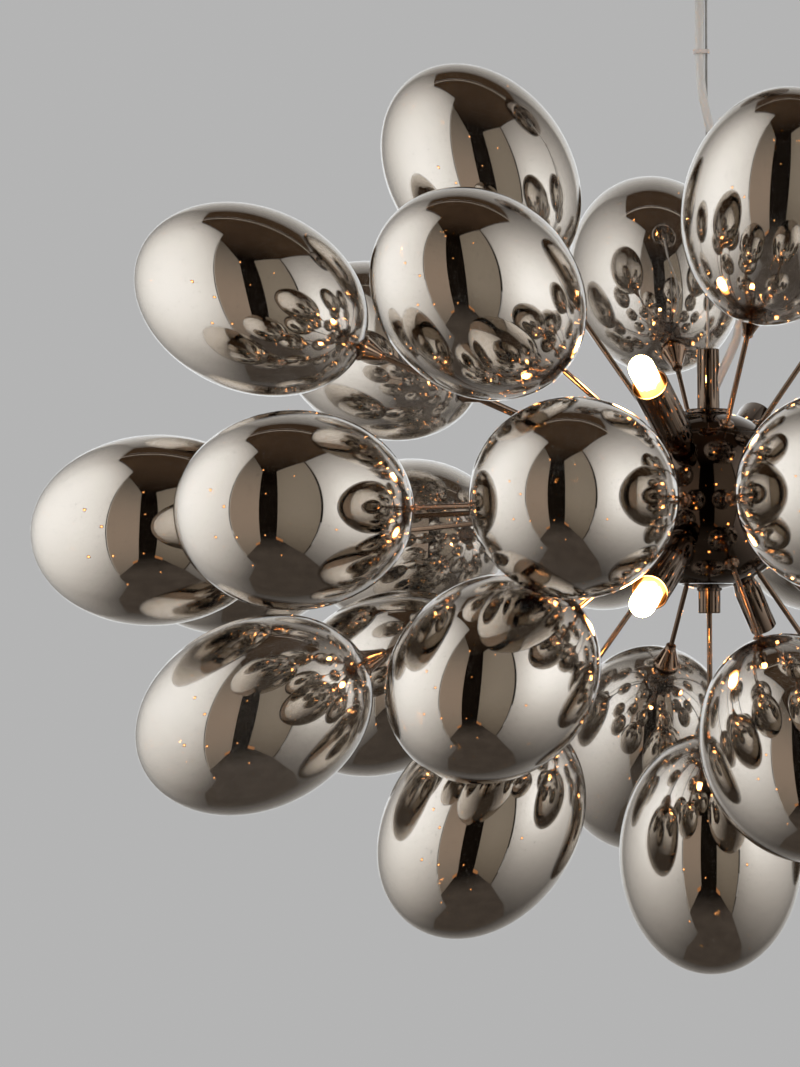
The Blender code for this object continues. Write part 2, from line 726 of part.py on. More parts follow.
def build_lamps(lamps):
    for number, lamp in enumerate(lamps, start=1):
        matrix = arm_matrix(lamp["way"])
        floor = lamp["start"] + SLEEVE_WALL
        nipple_end = BALL_RADIUS - NIPPLE_IN_BALL
        sleeve = turned("sleeve", [
            (lamp["girth"] - SLEEVE_WALL, lamp["mouth"]),
            (lamp["girth"], lamp["mouth"]),
            (lamp["girth"], lamp["full"]),
            (lamp["base"], lamp["start"]),
            (NIPPLE_RADIUS, lamp["start"]),
            (NIPPLE_RADIUS, nipple_end),
            (NIPPLE_BORE, nipple_end),
            (NIPPLE_BORE, floor),
            (lamp["base"] - SLEEVE_WALL, floor),
            (lamp["girth"] - SLEEVE_WALL, lamp["full"]),
        ], LAMP_SIDES)
        hang(add_object(f"lamp_sleeve_{number}", sleeve, "black_chrome", matrix))

        seat = floor + GAP
        holder_top = lamp["full"] + lamp["holder"] - SLEEVE_TAPER
        narrow = lamp["base"] - SLEEVE_WALL - GAP
        wide = lamp["girth"] - SLEEVE_WALL - GAP
        recess = holder_top - HOLDER_RECESS
        holder = turned("holder", [
            (lamp["cap"] + GAP, holder_top),
            (wide, holder_top),
            (wide, lamp["full"] + GAP),
            (narrow, seat),
            (HOLDER_BORE, seat),
            (HOLDER_BORE, recess),
            (lamp["cap"] + GAP, recess),
        ], LAMP_SIDES)
        hang(add_object(f"lamp_holder_{number}", holder, "lamp_ceramic", matrix))

        foot = recess + GAP
        shoulder = min(foot + LAMP_BASE_LENGTH, (foot + lamp["tip"]) / 2)
        dome = lamp["tip"] - lamp["bulb"]
        bulb = [(lamp["bulb"] * across, dome + lamp["bulb"] * up)
                for up, across in BULB_END_SHARES[::-1]]
        shape = turned("lamp", bulb + [
            (lamp["bulb"], shoulder + LAMP_SHOULDER),
            (lamp["cap"], shoulder),
            (lamp["cap"], foot),
            (0.0, foot),
        ], LAMP_SIDES, closed=False)
        hang(add_object(f"lamp_{number}", shape, "lamp_glass", matrix))


def band(right_radius, left_radius, left, offset):
    """Outline round two round pieces side by side, the right one on the Z axis."""
    points = []
    for middle, radius, first in ((0.0, right_radius, -90.0), (-left, left_radius, 90.0)):
        for i in range(TIE_POINTS + 1):
            angle = math.radians(first + 180.0 * i / TIE_POINTS)
            points.append((middle + (radius + offset) * math.cos(angle),
                           (radius + offset) * math.sin(angle)))
    return points


def build_suspension():
    """The link, the gripper that takes the wire, the wire itself, the flex and its two ties."""
    straight = LINK_STRAIGHT / 2
    middle = (LINK_TOP + LINK_FOOT) / 2
    parts = LINK_POINTS
    oval = [(0.0, y, middle + straight + z) for y, z in arc(LINK_RADIUS, 0.0, math.pi, parts)]
    oval += [(0.0, y, middle - straight + z)
             for y, z in arc(LINK_RADIUS, math.pi, math.tau, parts)]
    link = wire_mesh("hook_link", oval, LINK_WIRE, 1, True)
    pivot = Matrix.Translation((0.0, 0.0, EYE_FOOT))
    link.transform(pivot.inverted())
    add_object("hook_link", link, "zinc_steel", pivot)

    ring_middle = LINK_FOOT + LINK_WIRE + RING_WIRE + GAP - RING_RADIUS
    grip_top = ring_middle - RING_RADIUS + RING_SUNK
    grip_foot = grip_top - GRIP_LENGTH
    tip_foot = grip_foot - GRIP_TIP_LENGTH
    bore = (WIRE_RADIUS + GAP) / math.cos(math.pi / GRIP_SIDES)
    bore_end = tip_foot + GRIP_BORE_DEPTH
    body = turned("wire_gripper", [
        (0.0, grip_top),
        (GRIP_RADIUS - GRIP_CHAMFER, grip_top),
        (GRIP_RADIUS, grip_top - GRIP_CHAMFER),
        (GRIP_RADIUS, grip_foot + GRIP_CHAMFER),
        (GRIP_RADIUS - GRIP_CHAMFER, grip_foot),
        (GRIP_TIP_RADIUS, grip_foot),
        (GRIP_TIP_RADIUS, tip_foot),
        (bore, tip_foot),
        (bore, bore_end),
        (0.0, bore_end),
    ], GRIP_SIDES, closed=False)
    gripper = add_object("wire_gripper", body, "chrome")
    loop = [(x, 0.0, z) for x, z in arc(RING_RADIUS, 0.0, math.tau, GRIP_SIDES, ring_middle)[:-1]]
    ring = add_cutter("gripper_ring", wire_mesh("gripper_ring", loop, RING_WIRE, 1, True))
    boolean(gripper, ring, "UNION")
    settle(gripper)
    hang(gripper)

    ferrule_top = STEM_TOP - STEM_ROOF - GAP - DROP
    wire_end = ferrule_top - FERRULE_LENGTH - WIRE_TAIL
    wire = turned("hanging_wire", [
        (0.0, bore_end - GAP),
        (WIRE_RADIUS, bore_end - GAP),
        (WIRE_RADIUS, ferrule_top),
        (FERRULE_RADIUS, ferrule_top),
        (FERRULE_RADIUS, ferrule_top - FERRULE_LENGTH),
        (WIRE_RADIUS, ferrule_top - FERRULE_LENGTH),
        (WIRE_RADIUS, wire_end),
        (0.0, wire_end),
    ], WIRE_SIDES, closed=False)
    hang(add_object("hanging_wire", wire, "wire_steel"))

    rise = TIE_ABOVE_BALL - STEM_TOP
    lower = [(x, y, STEM_TOP + rise * share - DROP) for x, y, share in FLEX_LOWER_SHARES]
    start, end = [Vector(point) - Vector((0.0, 0.0, DROP)) for point in FLEX_ENTRY_ROUTE]
    route = smooth_route(FLEX_UPPER_ROUTE + lower + [start], end, FLEX_STEP)
    route += [start.lerp(end, i / FLEX_ENTRY_PARTS) for i in range(1, FLEX_ENTRY_PARTS + 1)]
    flex = wire_mesh("power_flex", route, FLEX_RADIUS, 2)
    hang(add_object("power_flex", flex, "clear_flex"))

    strap_out = GRIP_RADIUS + FLEX_ROOM + FLEX_RADIUS
    strap_middle = grip_top - STRAP_BELOW_TOP - STRAP_HEIGHT / 2
    strap = flat_piece("strap", [
        band(GRIP_RADIUS, FLEX_RADIUS, strap_out, GAP + STRAP_WALL),
        band(GRIP_RADIUS, FLEX_RADIUS, strap_out, GAP),
    ], STRAP_HEIGHT, Matrix.Translation((0.0, 0.0, strap_middle)))
    tie_out = -FLEX_LOWER_SHARES[0][0]
    tie = flat_piece("tie", [
        band(WIRE_RADIUS, FLEX_RADIUS, tie_out, GAP + TIE_WALL),
        band(WIRE_RADIUS, FLEX_RADIUS, tie_out, GAP),
    ], TIE_HEIGHT, Matrix.Translation((0.0, 0.0, TIE_ABOVE_BALL - DROP)))
    hang(add_object("flex_strap", strap, "zinc_steel"))
    hang(add_object("cord_tie", tie, "clear_tie"))


def build_fixing():
    """The plate on the ceiling with its eye and tabs, its screws and the terminal block."""
    plate = add_object("ceiling_plate", turned("ceiling_plate", [
        (0.0, 0.0),
        (BASE_RADIUS, 0.0),
        (BASE_RADIUS, -BASE_THICK),
        (0.0, -BASE_THICK),
    ], BASE_SIDES, closed=False), "zinc_steel")
    leg_top = -BASE_THICK / 2
    curve = arc(EYE_RADIUS, math.pi, math.tau, LINK_POINTS, -BASE_THICK - EYE_LEG)
    staple = [(-EYE_RADIUS, 0.0, leg_top)] + [(x, 0.0, z) for x, z in curve]
    staple += [(EYE_RADIUS, 0.0, leg_top)]
    boolean(plate, add_cutter("plate_eye", wire_mesh("plate_eye", staple, EYE_WIRE, 1)), "UNION")
    half = TAB_THICK / 2
    for side, label in ((1, "back"), (-1, "front")):
        middle = side * (BASE_RADIUS * math.cos(math.pi / BASE_SIDES) - half - GAP)
        tab = box(f"tab_{label}", TAB_WIDTH, TAB_THICK, TAB_LENGTH + BASE_THICK / 2,
                  (0.0, middle, -BASE_THICK / 2 - (TAB_LENGTH + BASE_THICK / 2) / 2))
        boolean(plate, add_cutter(f"tab_{label}", tab), "UNION")
    slot_half = ROSE_SCREW_RADIUS + GAP
    reach = BASE_RADIUS + OVERRUN
    across = Matrix.Rotation(math.pi / 2, 4, "X")
    slot_round = prism("slot_round", slot_half, -reach, reach, BASE_SIDES // 2)
    at_screw = Matrix.Translation((0.0, 0.0, -ROSE_SCREW_DROP))
    boolean(plate, add_cutter("slot_round", slot_round, at_screw @ across))
    slot_end = -BASE_THICK - TAB_LENGTH - OVERRUN
    width = 2 * slot_half * math.cos(math.pi / BASE_SIDES)
    slot = box("slot_straight", width, 2 * reach, -ROSE_SCREW_DROP - slot_end,
               (0.0, 0.0, (slot_end - ROSE_SCREW_DROP) / 2))
    boolean(plate, add_cutter("slot_straight", slot))
    screw = turned("base_screw", [
        (0.0, -BASE_THICK / 2),
        (BASE_SCREW_HEAD, -BASE_THICK / 2),
        (BASE_SCREW_HEAD, -BASE_THICK - BASE_SCREW_HEAD_HIGH / 2),
        (BASE_SCREW_HEAD / 2, -BASE_THICK - BASE_SCREW_HEAD_HIGH),
        (0.0, -BASE_THICK - BASE_SCREW_HEAD_HIGH),
    ], LAMP_SIDES, closed=False)
    corner = BASE_SCREW_OUT * math.cos(math.pi / 4)
    heads = group("base_screws", [(screw, Matrix.Translation((side * corner, side * corner, 0.0)))
                                  for side in (1, -1)])
    boolean(plate, add_cutter("base_screws", heads), "UNION")

    block_middle = -BLOCK_NEAR - BLOCK_SIZE_X / 2
    peg_place = Matrix.Translation((block_middle, 0.0, 0.0))
    peg_hole = prism("peg_hole", BLOCK_PEG_RADIUS + GAP, -BASE_THICK - OVERRUN, OVERRUN, LAMP_SIDES)
    boolean(plate, add_cutter("peg_hole", peg_hole, peg_place))
    settle(plate)
    block_top = -BASE_THICK - GAP
    block_z = block_top - BLOCK_SIZE_Z / 2
    block = add_object("terminal_block", box("terminal_block", BLOCK_SIZE_X, BLOCK_SIZE_Y,
                                             BLOCK_SIZE_Z, (block_middle, 0.0, block_z)),
                       "block_plastic")
    bevel = block.modifiers.new("edges", "BEVEL")
    bevel.width = BLOCK_EDGE
    bevel.segments = 1
    peg = prism("block_peg", BLOCK_PEG_RADIUS, block_top - OVERRUN, block_top + BLOCK_PEG_LENGTH,
                LAMP_SIDES)
    boolean(block, add_cutter("block_peg", peg, peg_place), "UNION")
    along = Matrix.Rotation(math.pi / 2, 4, "Y")
    entry = prism("block_entry", BLOCK_ENTRY_RADIUS, -BLOCK_ENTRY_DEPTH, OVERRUN, WIRE_SIDES)
    entries = []
    for side in (1, -1):
        y = side * BLOCK_ENTRY_APART / 2
        entries.append((entry, Matrix.Translation((-BLOCK_NEAR, y, block_z)) @ along))
    boolean(block, add_cutter("block_entries", group("block_entries", entries)))
    settle(block)


def build_rose():
    """The cover that slides down over the gripper, with its two side screws."""
    rim = -GAP
    bend_z = ROSE_BEND - ROSE_DEPTH
    bend_x = ROSE_RADIUS - ROSE_BEND
    outer = arc(ROSE_BEND, 0.0, -math.pi / 2, ROSE_BEND_STEPS, bend_z, bend_x)
    inner = arc(ROSE_BEND - ROSE_WALL, -math.pi / 2, 0.0, ROSE_BEND_STEPS, bend_z, bend_x)
    profile = [(ROSE_RADIUS, rim)] + outer + [(ROSE_HOLE, -ROSE_DEPTH)]
    profile += [(ROSE_HOLE, ROSE_WALL - ROSE_DEPTH)] + inner + [(ROSE_RADIUS - ROSE_WALL, rim)]
    cover = add_object("rose_cover", turned("rose_cover", profile, ROSE_SIDES), "chrome")
    at_screw = Matrix.Translation((0.0, 0.0, -ROSE_SCREW_DROP))
    head = ROSE_RADIUS - ROSE_WALL / 2
    top = ROSE_RADIUS + ROSE_SCREW_HEAD_HIGH
    screw = turned("rose_screw", [
        (0.0, top),
        (ROSE_SCREW_HEAD / 2, top),
        (ROSE_SCREW_HEAD, top - ROSE_SCREW_HEAD_HIGH / 2),
        (ROSE_SCREW_HEAD, head),
        (ROSE_SCREW_RADIUS, head),
        (ROSE_SCREW_RADIUS, ROSE_RADIUS - ROSE_SCREW_LENGTH),
        (0.0, ROSE_RADIUS - ROSE_SCREW_LENGTH),
    ], LAMP_SIDES, closed=False)
    placed = [(screw, at_screw @ Matrix.Rotation(turn, 4, "X"))
              for turn in (math.pi / 2, -math.pi / 2)]
    boolean(cover, add_cutter("rose_screws", group("rose_screws", placed)), "UNION")
    settle(cover)


def hang(obj):
    """Parent a piece of the hanging body to the pivot in the link's foot."""
    placed = obj.matrix_world.copy()
    obj.parent = PIVOT
    obj.matrix_parent_inverse = Matrix.Translation(PIVOT.location).inverted()
    obj.matrix_world = placed


def all_arms():
    """Direction and reach of every arm; the paired ones come again after half a turn."""
    longest = (SHADE_ACROSS + SHADE_LONG) * REACH_SHARE
    arms = []
    for azimuth, elevation, reach_share in PAIRED_ARM_SHARES:
        for turn in (0.0, 180.0):
            arms.append((direction(azimuth + turn, elevation), longest * reach_share))
    for azimuth, elevation, reach_share in SINGLE_ARM_SHARES:
        arms.append((direction(azimuth, elevation), longest * reach_share))
    return arms


clear_scene()
PARTS = new_collection("cluster_pendant_light")
CUTTERS = new_collection("cutters")
BALL = Matrix.Translation((0.0, 0.0, -DROP))
EYE_FOOT = -BASE_THICK - EYE_LEG - EYE_RADIUS
LINK_TOP = EYE_FOOT + EYE_WIRE + LINK_WIRE + GAP
LINK_FOOT = LINK_TOP - 2 * LINK_RADIUS - LINK_STRAIGHT
PIVOT = bpy.data.objects.new("pendant_pivot", None)
PARTS.objects.link(PIVOT)
PIVOT.location = (0.0, 0.0, LINK_FOOT)

ARMS = all_arms()
LAMPS = lamp_places(ARMS)
build_fixing()
build_rose()
build_suspension()
build_stem()
build_ball(ARMS, LAMPS)
build_lamps(LAMPS)
build_shades(ARMS)
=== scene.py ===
"""Cluster pendant light with egg-shaped mirror-glass shades on rods round a dark metal ball.

Lengths are in metres in the frame of the solids: the origin is on the ceiling face, over the middle
of the ball, and +Z is up. Azimuth 0 is the side that faces the viewer and it grows to the right.
"""
import math

import bmesh
import bpy
from mathutils import Matrix, Vector


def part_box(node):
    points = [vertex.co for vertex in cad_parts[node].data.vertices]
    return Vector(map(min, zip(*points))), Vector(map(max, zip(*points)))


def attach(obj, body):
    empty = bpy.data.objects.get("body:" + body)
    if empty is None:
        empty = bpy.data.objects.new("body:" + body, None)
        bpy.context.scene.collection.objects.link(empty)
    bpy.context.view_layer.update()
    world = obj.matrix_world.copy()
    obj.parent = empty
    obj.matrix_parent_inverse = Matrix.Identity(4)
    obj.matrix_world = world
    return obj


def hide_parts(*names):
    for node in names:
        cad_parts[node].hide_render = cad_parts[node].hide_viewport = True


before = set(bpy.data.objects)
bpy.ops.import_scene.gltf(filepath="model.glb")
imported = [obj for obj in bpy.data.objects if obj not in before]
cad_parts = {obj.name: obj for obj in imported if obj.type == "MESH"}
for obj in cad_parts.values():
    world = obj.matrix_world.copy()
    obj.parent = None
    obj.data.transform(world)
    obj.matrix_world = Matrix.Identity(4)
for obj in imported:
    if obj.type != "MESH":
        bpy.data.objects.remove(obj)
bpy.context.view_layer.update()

MM = 0.001
DROP = 358.0 * MM
BALL_MIDDLE = Matrix.Translation((0.0, 0.0, -DROP))

# Shades
SHADE_ACROSS = 106.0 * MM
SHADE_LONG = 140.0 * MM
GLASS_WALL = 2.2 * MM
LONGEST_REACH = 332.1 * MM

# Rods, cones and nuts
ROD_RADIUS = 1.6 * MM
COLLAR_RADIUS = 4.65 * MM
CONE_WIDE = 8.0 * MM
CONE_NARROW = 3.2 * MM
CONE_LENGTH = 14.0 * MM
FLANGE_RADIUS = 7.4 * MM
ACORN_RADIUS = 3.5 * MM

# Ball and what stands on it
BALL_RADIUS = 52.0 * MM
CAP_SEAM = 38.6 * MM
CAP_FLAT = 50.0 * MM
FOOT_SEAM = 48.8 * MM
STEM_RADIUS = 6.6 * MM
STEM_TOP = 88.0 * MM
PLATE_RADIUS = 14.0 * MM
STUB_RADIUS = 6.5 * MM
STUB_BOTTOM = 66.0 * MM

PAIRED_ARMS = [
    (-16.0, -2.0, 0.762), (-44.0, -2.5, 0.946), (-67.5, -3.5, 1.0), (-106.0, -4.5, 0.903),
    (-130.0, -4.5, 0.744), (-32.0, 24.0, 0.759), (-80.5, 23.5, 0.873), (-119.5, 23.0, 0.756),
    (-29.0, -23.5, 0.774), (-66.5, -24.0, 0.909), (-113.5, -26.5, 0.717), (-93.0, 55.5, 0.705),
    (-55.5, -50.0, 0.726),
]
SINGLE_ARMS = [
    (15.0, -1.5, 0.789), (-165.0, -1.5, 0.789), (19.5, 53.5, 0.59), (-166.0, 47.5, 0.59),
    (20.5, -46.0, 0.59), (-162.0, -48.5, 0.59), (0.0, -90.0, 0.617),
]


def direction(azimuth, elevation):
    turn = math.radians(azimuth)
    lift = math.radians(elevation)
    return Vector((math.sin(turn) * math.cos(lift), -math.cos(turn) * math.cos(lift),
                   math.sin(lift)))


def on_line(way):
    """Places a piece modelled along +Z from the middle of the ball on a line out of it."""
    return BALL_MIDDLE @ way.to_track_quat("Z", "Y").to_matrix().to_4x4()


def all_arms():
    arms = []
    for azimuth, elevation, share in PAIRED_ARMS:
        for turn in (0.0, 180.0):
            arms.append((direction(azimuth + turn, elevation), LONGEST_REACH * share))
    for azimuth, elevation, share in SINGLE_ARMS:
        arms.append((direction(azimuth, elevation), LONGEST_REACH * share))
    return arms


# Modelling by hand


def let_go():
    bpy.ops.object.select_all(action="DESELECT")


def take(obj):
    let_go()
    obj.select_set(True)
    bpy.context.view_layer.objects.active = obj


def edit(obj, mode="VERT"):
    take(obj)
    bpy.ops.object.mode_set(mode="EDIT")
    bpy.ops.mesh.select_mode(type=mode)


def everything():
    bpy.ops.mesh.select_all(action="SELECT")


def done():
    bpy.ops.object.mode_set(mode="OBJECT")


def smooth(degrees):
    """Smooth shading on the taken piece, but for edges that bend more than this."""
    bpy.ops.object.shade_smooth_by_angle(angle=math.radians(degrees))


def added(primitive, name, place=(0.0, 0.0, 0.0), **settings):
    """A new primitive at a place, with its object at the origin."""
    let_go()
    primitive(location=place, **settings)
    piece = bpy.context.object
    piece.name = name
    bpy.ops.object.transform_apply(location=True, rotation=False, scale=False)
    return piece


def box_to_work(name, middle, size):
    """A box, left in edit mode so that its faces can be worked."""
    box = added(bpy.ops.mesh.primitive_cube_add, name, middle, size=1.0)
    edit(box, "FACE")
    everything()
    bpy.ops.transform.resize(value=size, center_override=middle)
    return box


def mm(*points):
    """Points that are written in millimetres."""
    return [tuple(value * MM for value in point) for point in points]


def pick(obj, test, kind="verts"):
    """Select the corners or faces of a mesh in edit mode that pass a test."""
    bpy.ops.mesh.select_all(action="DESELECT")
    shape = bmesh.from_edit_mesh(obj.data)
    for part in getattr(shape, kind):
        if test(part):
            part.select_set(True)
    if kind == "faces":
        shape.select_flush_mode()
    else:
        shape.select_flush(True)
    bmesh.update_edit_mesh(obj.data)


def turned(name, outline, steps, closed=False, crisp=28.0):
    """A solid of revolution: one corner is pushed along the outline, then spun about Z."""
    piece = added(bpy.ops.mesh.primitive_plane_add, name, size=2 * MM)
    edit(piece)
    everything()
    bpy.ops.mesh.merge(type="CENTER")
    here = Vector((outline[0][0], 0.0, outline[0][1]))
    bpy.ops.transform.translate(value=here)
    for radius, height in outline[1:]:
        there = Vector((radius, 0.0, height))
        bpy.ops.mesh.extrude_vertices_move(TRANSFORM_OT_translate={"value": there - here})
        here = there
    everything()
    if closed:
        pick(piece, lambda corner: len(corner.link_edges) == 1)
        bpy.ops.mesh.edge_face_add()
        everything()
    bpy.ops.mesh.spin(steps=steps, angle=math.tau, center=(0.0, 0.0, 0.0), axis=(0.0, 0.0, 1.0))
    everything()
    bpy.ops.mesh.remove_doubles(threshold=0.002 * MM)
    bpy.ops.mesh.dissolve_degenerate(threshold=0.001 * MM)
    everything()
    bpy.ops.mesh.normals_make_consistent(inside=False)
    done()
    smooth(crisp)
    return piece


def rounded(outline, radius, parts=3, closed=False):
    """The outline with its inner corners rounded."""
    count = len(outline)
    points = []
    for i, corner in enumerate(outline):
        middle = Vector(corner)
        if not closed and i in (0, count - 1):
            points.append(corner)
            continue
        back = Vector(outline[i - 1]) - middle
        ahead = Vector(outline[(i + 1) % count]) - middle
        bend = math.pi - back.angle(ahead)
        reach = min(radius, back.length * 0.45, ahead.length * 0.45)
        if bend < math.radians(20.0) or reach < 0.02 * MM:
            points.append(corner)
            continue
        start = middle + back.normalized() * reach
        end = middle + ahead.normalized() * reach
        for k in range(parts + 1):
            t = k / parts
            spot = start * (1 - t) ** 2 + middle * 2 * t * (1 - t) + end * t ** 2
            points.append((spot.x, spot.y))
    return points


def bow(radius, first, last, parts, height=0.0):
    """Outline points on a circle round the Z axis between two elevations in radians."""
    points = []
    for i in range(parts + 1):
        angle = first + (last - first) * i / parts
        points.append((radius * math.cos(angle), height + radius * math.sin(angle)))
    return points


def copied(piece, name, matrix):
    """Another of a piece with its own mesh, put in its place."""
    mesh = piece.data.copy()
    mesh.name = name
    mesh.transform(matrix)
    twin = bpy.data.objects.new(name, mesh)
    bpy.context.scene.collection.objects.link(twin)
    return twin


def drop(piece):
    bpy.data.objects.remove(piece, do_unlink=True)


def placed(piece, matrix):
    """Move a piece by its mesh, so that its object stays at the origin."""
    piece.data.transform(matrix)


def dress(piece, *finishes):
    piece.data.materials.clear()
    for finish in finishes:
        piece.data.materials.append(finish)


def finish_modifier(piece, kind, **settings):
    take(piece)
    modifier = piece.modifiers.new(kind.lower(), kind)
    for key, value in settings.items():
        setattr(modifier, key, value)
    bpy.ops.object.modifier_apply(modifier=modifier.name)


def tube(name, points, radius, parts=3, cyclic=False):
    """A round tube along a smooth path, as a mesh."""
    curve = bpy.data.curves.new(name, "CURVE")
    curve.dimensions = "3D"
    curve.bevel_depth = radius
    curve.bevel_resolution = parts
    curve.use_fill_caps = not cyclic
    spline = curve.splines.new("POLY")
    spline.points.add(len(points) - 1)
    for target, point in zip(spline.points, points):
        target.co = (point[0], point[1], point[2], 1.0)
    spline.use_cyclic_u = cyclic
    blank = bpy.data.objects.new(name, curve)
    bpy.context.scene.collection.objects.link(blank)
    take(blank)
    bpy.ops.object.convert(target="MESH")
    piece = bpy.context.object
    piece.name = name
    bpy.ops.object.mode_set(mode="EDIT")
    everything()
    bpy.ops.mesh.remove_doubles(threshold=0.002 * MM)
    bpy.ops.mesh.normals_make_consistent(inside=False)
    done()
    smooth(40.0)
    return piece


# Finishes


class Thread:
    """A socket of a finish that sums and products can be written with."""

    def __init__(self, recipe, socket):
        self.recipe = recipe
        self.socket = socket

    def __add__(self, other):
        return self.recipe.calculate("ADD", self, other)

    def __sub__(self, other):
        return self.recipe.calculate("SUBTRACT", self, other)

    def __mul__(self, other):
        return self.recipe.calculate("MULTIPLY", self, other)


class Recipe:
    """One material while its nodes are laid."""

    def __init__(self, name):
        self.material = bpy.data.materials.new(name)
        self.material.use_nodes = True
        self.tree = self.material.node_tree
        self.tree.nodes.clear()

    def node(self, kind, settings=None, *sockets, out=0, **named):
        """Add a node, set it up, then give its sockets values or links."""
        made = self.tree.nodes.new(kind)
        for key, value in (settings or {}).items():
            if key == "stops":
                ramp = made.color_ramp
                while len(ramp.elements) < len(value):
                    ramp.elements.new(1.0)
                for stop, (place, colour) in zip(ramp.elements, value):
                    stop.position = place
                    stop.color = colour
            else:
                setattr(made, key, value)
        pairs = list(enumerate(sockets)) + [(key.replace("_", " "), value)
                                            for key, value in named.items()]
        for key, value in pairs:
            if value is None:
                continue
            if isinstance(value, Thread):
                self.tree.links.new(value.socket, made.inputs[key])
            else:
                made.inputs[key].default_value = value
        return Thread(self, made.outputs[out] if len(made.outputs) else None)

    def calculate(self, operation, first, second):
        return self.node("ShaderNodeMath", {"operation": operation}, first, second)

    def place(self):
        return self.node("ShaderNodeTexCoord", out="Object")

    def axes(self):
        """The x, y and z of the place."""
        parts = self.node("ShaderNodeSeparateXYZ", None, self.place()).socket.node
        return [Thread(self, part) for part in parts.outputs]

    def speckle(self, scale, detail=2.0, roughness=0.5):
        return self.node("ShaderNodeTexNoise", None, self.place(), Scale=scale,
                         Detail=detail, Roughness=roughness)

    def grade(self, value, low, high, to_low=0.0, to_high=1.0):
        return self.node("ShaderNodeMapRange", None, value, low, high, to_low, to_high)

    def blend(self, factor, first, second):
        mixed = self.node("ShaderNodeMix", {"data_type": "RGBA"}, out=2, Factor=factor)
        mix = mixed.socket.node
        for key, value in ((6, first), (7, second)):
            if isinstance(value, Thread):
                self.tree.links.new(value.socket, mix.inputs[key])
            else:
                mix.inputs[key].default_value = value
        return mixed

    def bump(self, height, strength, distance):
        return self.node("ShaderNodeBump", None, Strength=strength, Distance=distance,
                         Height=height)

    def principled(self, **values):
        return self.node("ShaderNodeBsdfPrincipled", None, **values)

    def surface(self, shader):
        self.node("ShaderNodeOutputMaterial", None, Surface=shader)
        return self.material

    def finish(self, **values):
        return self.surface(self.principled(**values))

    def shine(self, colour, strength):
        return self.surface(self.node("ShaderNodeEmission", None, colour, strength))


def dimmed(colour, share):
    return tuple(value * share for value in colour[:3]) + (1.0,)


def clear_wall():
    """Blown clear glass: the outer side of a shade."""
    mix = Recipe("blown_clear_glass")
    slow = mix.speckle(16.0, 1.0)
    return mix.finish(Base_Color=(0.97, 0.965, 0.96, 1.0), Roughness=0.0, IOR=1.5,
                      Transmission_Weight=1.0, Normal=mix.bump(slow, 0.25, 0.6 * MM))


def mirror_wall():
    """The smoke-coloured metal film on a shade's inner side, as dense as its "film" says."""
    mix = Recipe("smoked_mirror_film")
    film_here = mix.node("ShaderNodeAttribute", {"attribute_name": "film"}, out="Fac")
    cloud = mix.speckle(34.0, 3.0, 0.6)
    dust = mix.speckle(900.0, 0.0)
    pinholes = mix.grade(dust, 0.745, 0.76)
    cover = film_here + cloud * 0.04 - 0.02 - pinholes * 0.35
    tint = mix.blend(cloud, (0.60, 0.545, 0.485, 1.0), (0.55, 0.505, 0.455, 1.0))
    haze = mix.grade(cloud, 0.3, 0.8, 0.012, 0.03)
    film = mix.principled(Base_Color=tint, Metallic=1.0, Roughness=haze)
    through = mix.principled(Base_Color=(0.72, 0.665, 0.60, 1.0), Roughness=0.0, IOR=1.5,
                             Transmission_Weight=1.0)
    return mix.surface(mix.node("ShaderNodeMixShader", None, cover, through, film))


def dark_chrome(name, colour, rough, drawn=0.0):
    """Polished black-nickel plate, with faint polishing lines and a few cloudy spots."""
    mix = Recipe(name)
    cloud = mix.speckle(60.0, 4.0, 0.6)
    lines = mix.speckle(700.0, 2.0, 0.7)
    shade = mix.blend(mix.grade(cloud, 0.3, 0.75), colour, dimmed(colour, 0.82))
    roughness = mix.grade(cloud, 0.2, 0.8, rough, rough * 1.9 + drawn)
    normal = mix.bump(lines, 0.06 + drawn, 0.05 * MM)
    return mix.finish(Base_Color=shade, Metallic=1.0, Roughness=roughness, Normal=normal)


def bare_steel(name, colour, rough):
    """Plain or zinc-plated steel with duller spots and a fine grain."""
    mix = Recipe(name)
    cloud = mix.speckle(90.0, 4.0, 0.6)
    fine = mix.speckle(1500.0, 1.0)
    shade = mix.blend(mix.grade(cloud, 0.35, 0.75), colour, dimmed(colour, 0.7))
    roughness = mix.grade(cloud, 0.2, 0.8, rough, rough + 0.16)
    normal = mix.bump(fine, 0.15, 0.05 * MM)
    return mix.finish(Base_Color=shade, Metallic=1.0, Roughness=roughness, Normal=normal)


def bulb_glass():
    """Clear glass with an amber glow that grows towards the tip."""
    mix = Recipe("lit_bulb_glass")
    tip_near = mix.node("ShaderNodeAttribute", {"attribute_name": "tip_near"}, out="Fac")
    soft = mix.speckle(260.0, 2.0)
    glow = mix.node("ShaderNodeValToRGB", {"stops": [
        (0.0, (0.006, 0.002, 0.0004, 1.0)), (0.56, (0.011, 0.0042, 0.0008, 1.0)),
        (0.70, (0.03, 0.0135, 0.0036, 1.0)), (0.92, (1.0, 0.46, 0.15, 1.0)),
    ]}, tip_near + soft * 0.12 - 0.06)
    return mix.finish(Base_Color=(1.0, 0.93, 0.82, 1.0), Roughness=0.0, IOR=1.3,
                      Transmission_Weight=1.0, Emission_Color=glow, Emission_Strength=110.0)


def bulb_core():
    """The frosted inner capsule that gives the light."""
    mix = Recipe("lit_bulb_core")
    soft = mix.speckle(320.0, 2.0)
    glow = mix.blend(soft, (1.0, 0.45, 0.14, 1.0), (1.0, 0.52, 0.18, 1.0))
    return mix.finish(Base_Color=(0.9, 0.84, 0.74, 1.0), Roughness=0.3, Emission_Color=glow,
                      Emission_Strength=300.0)


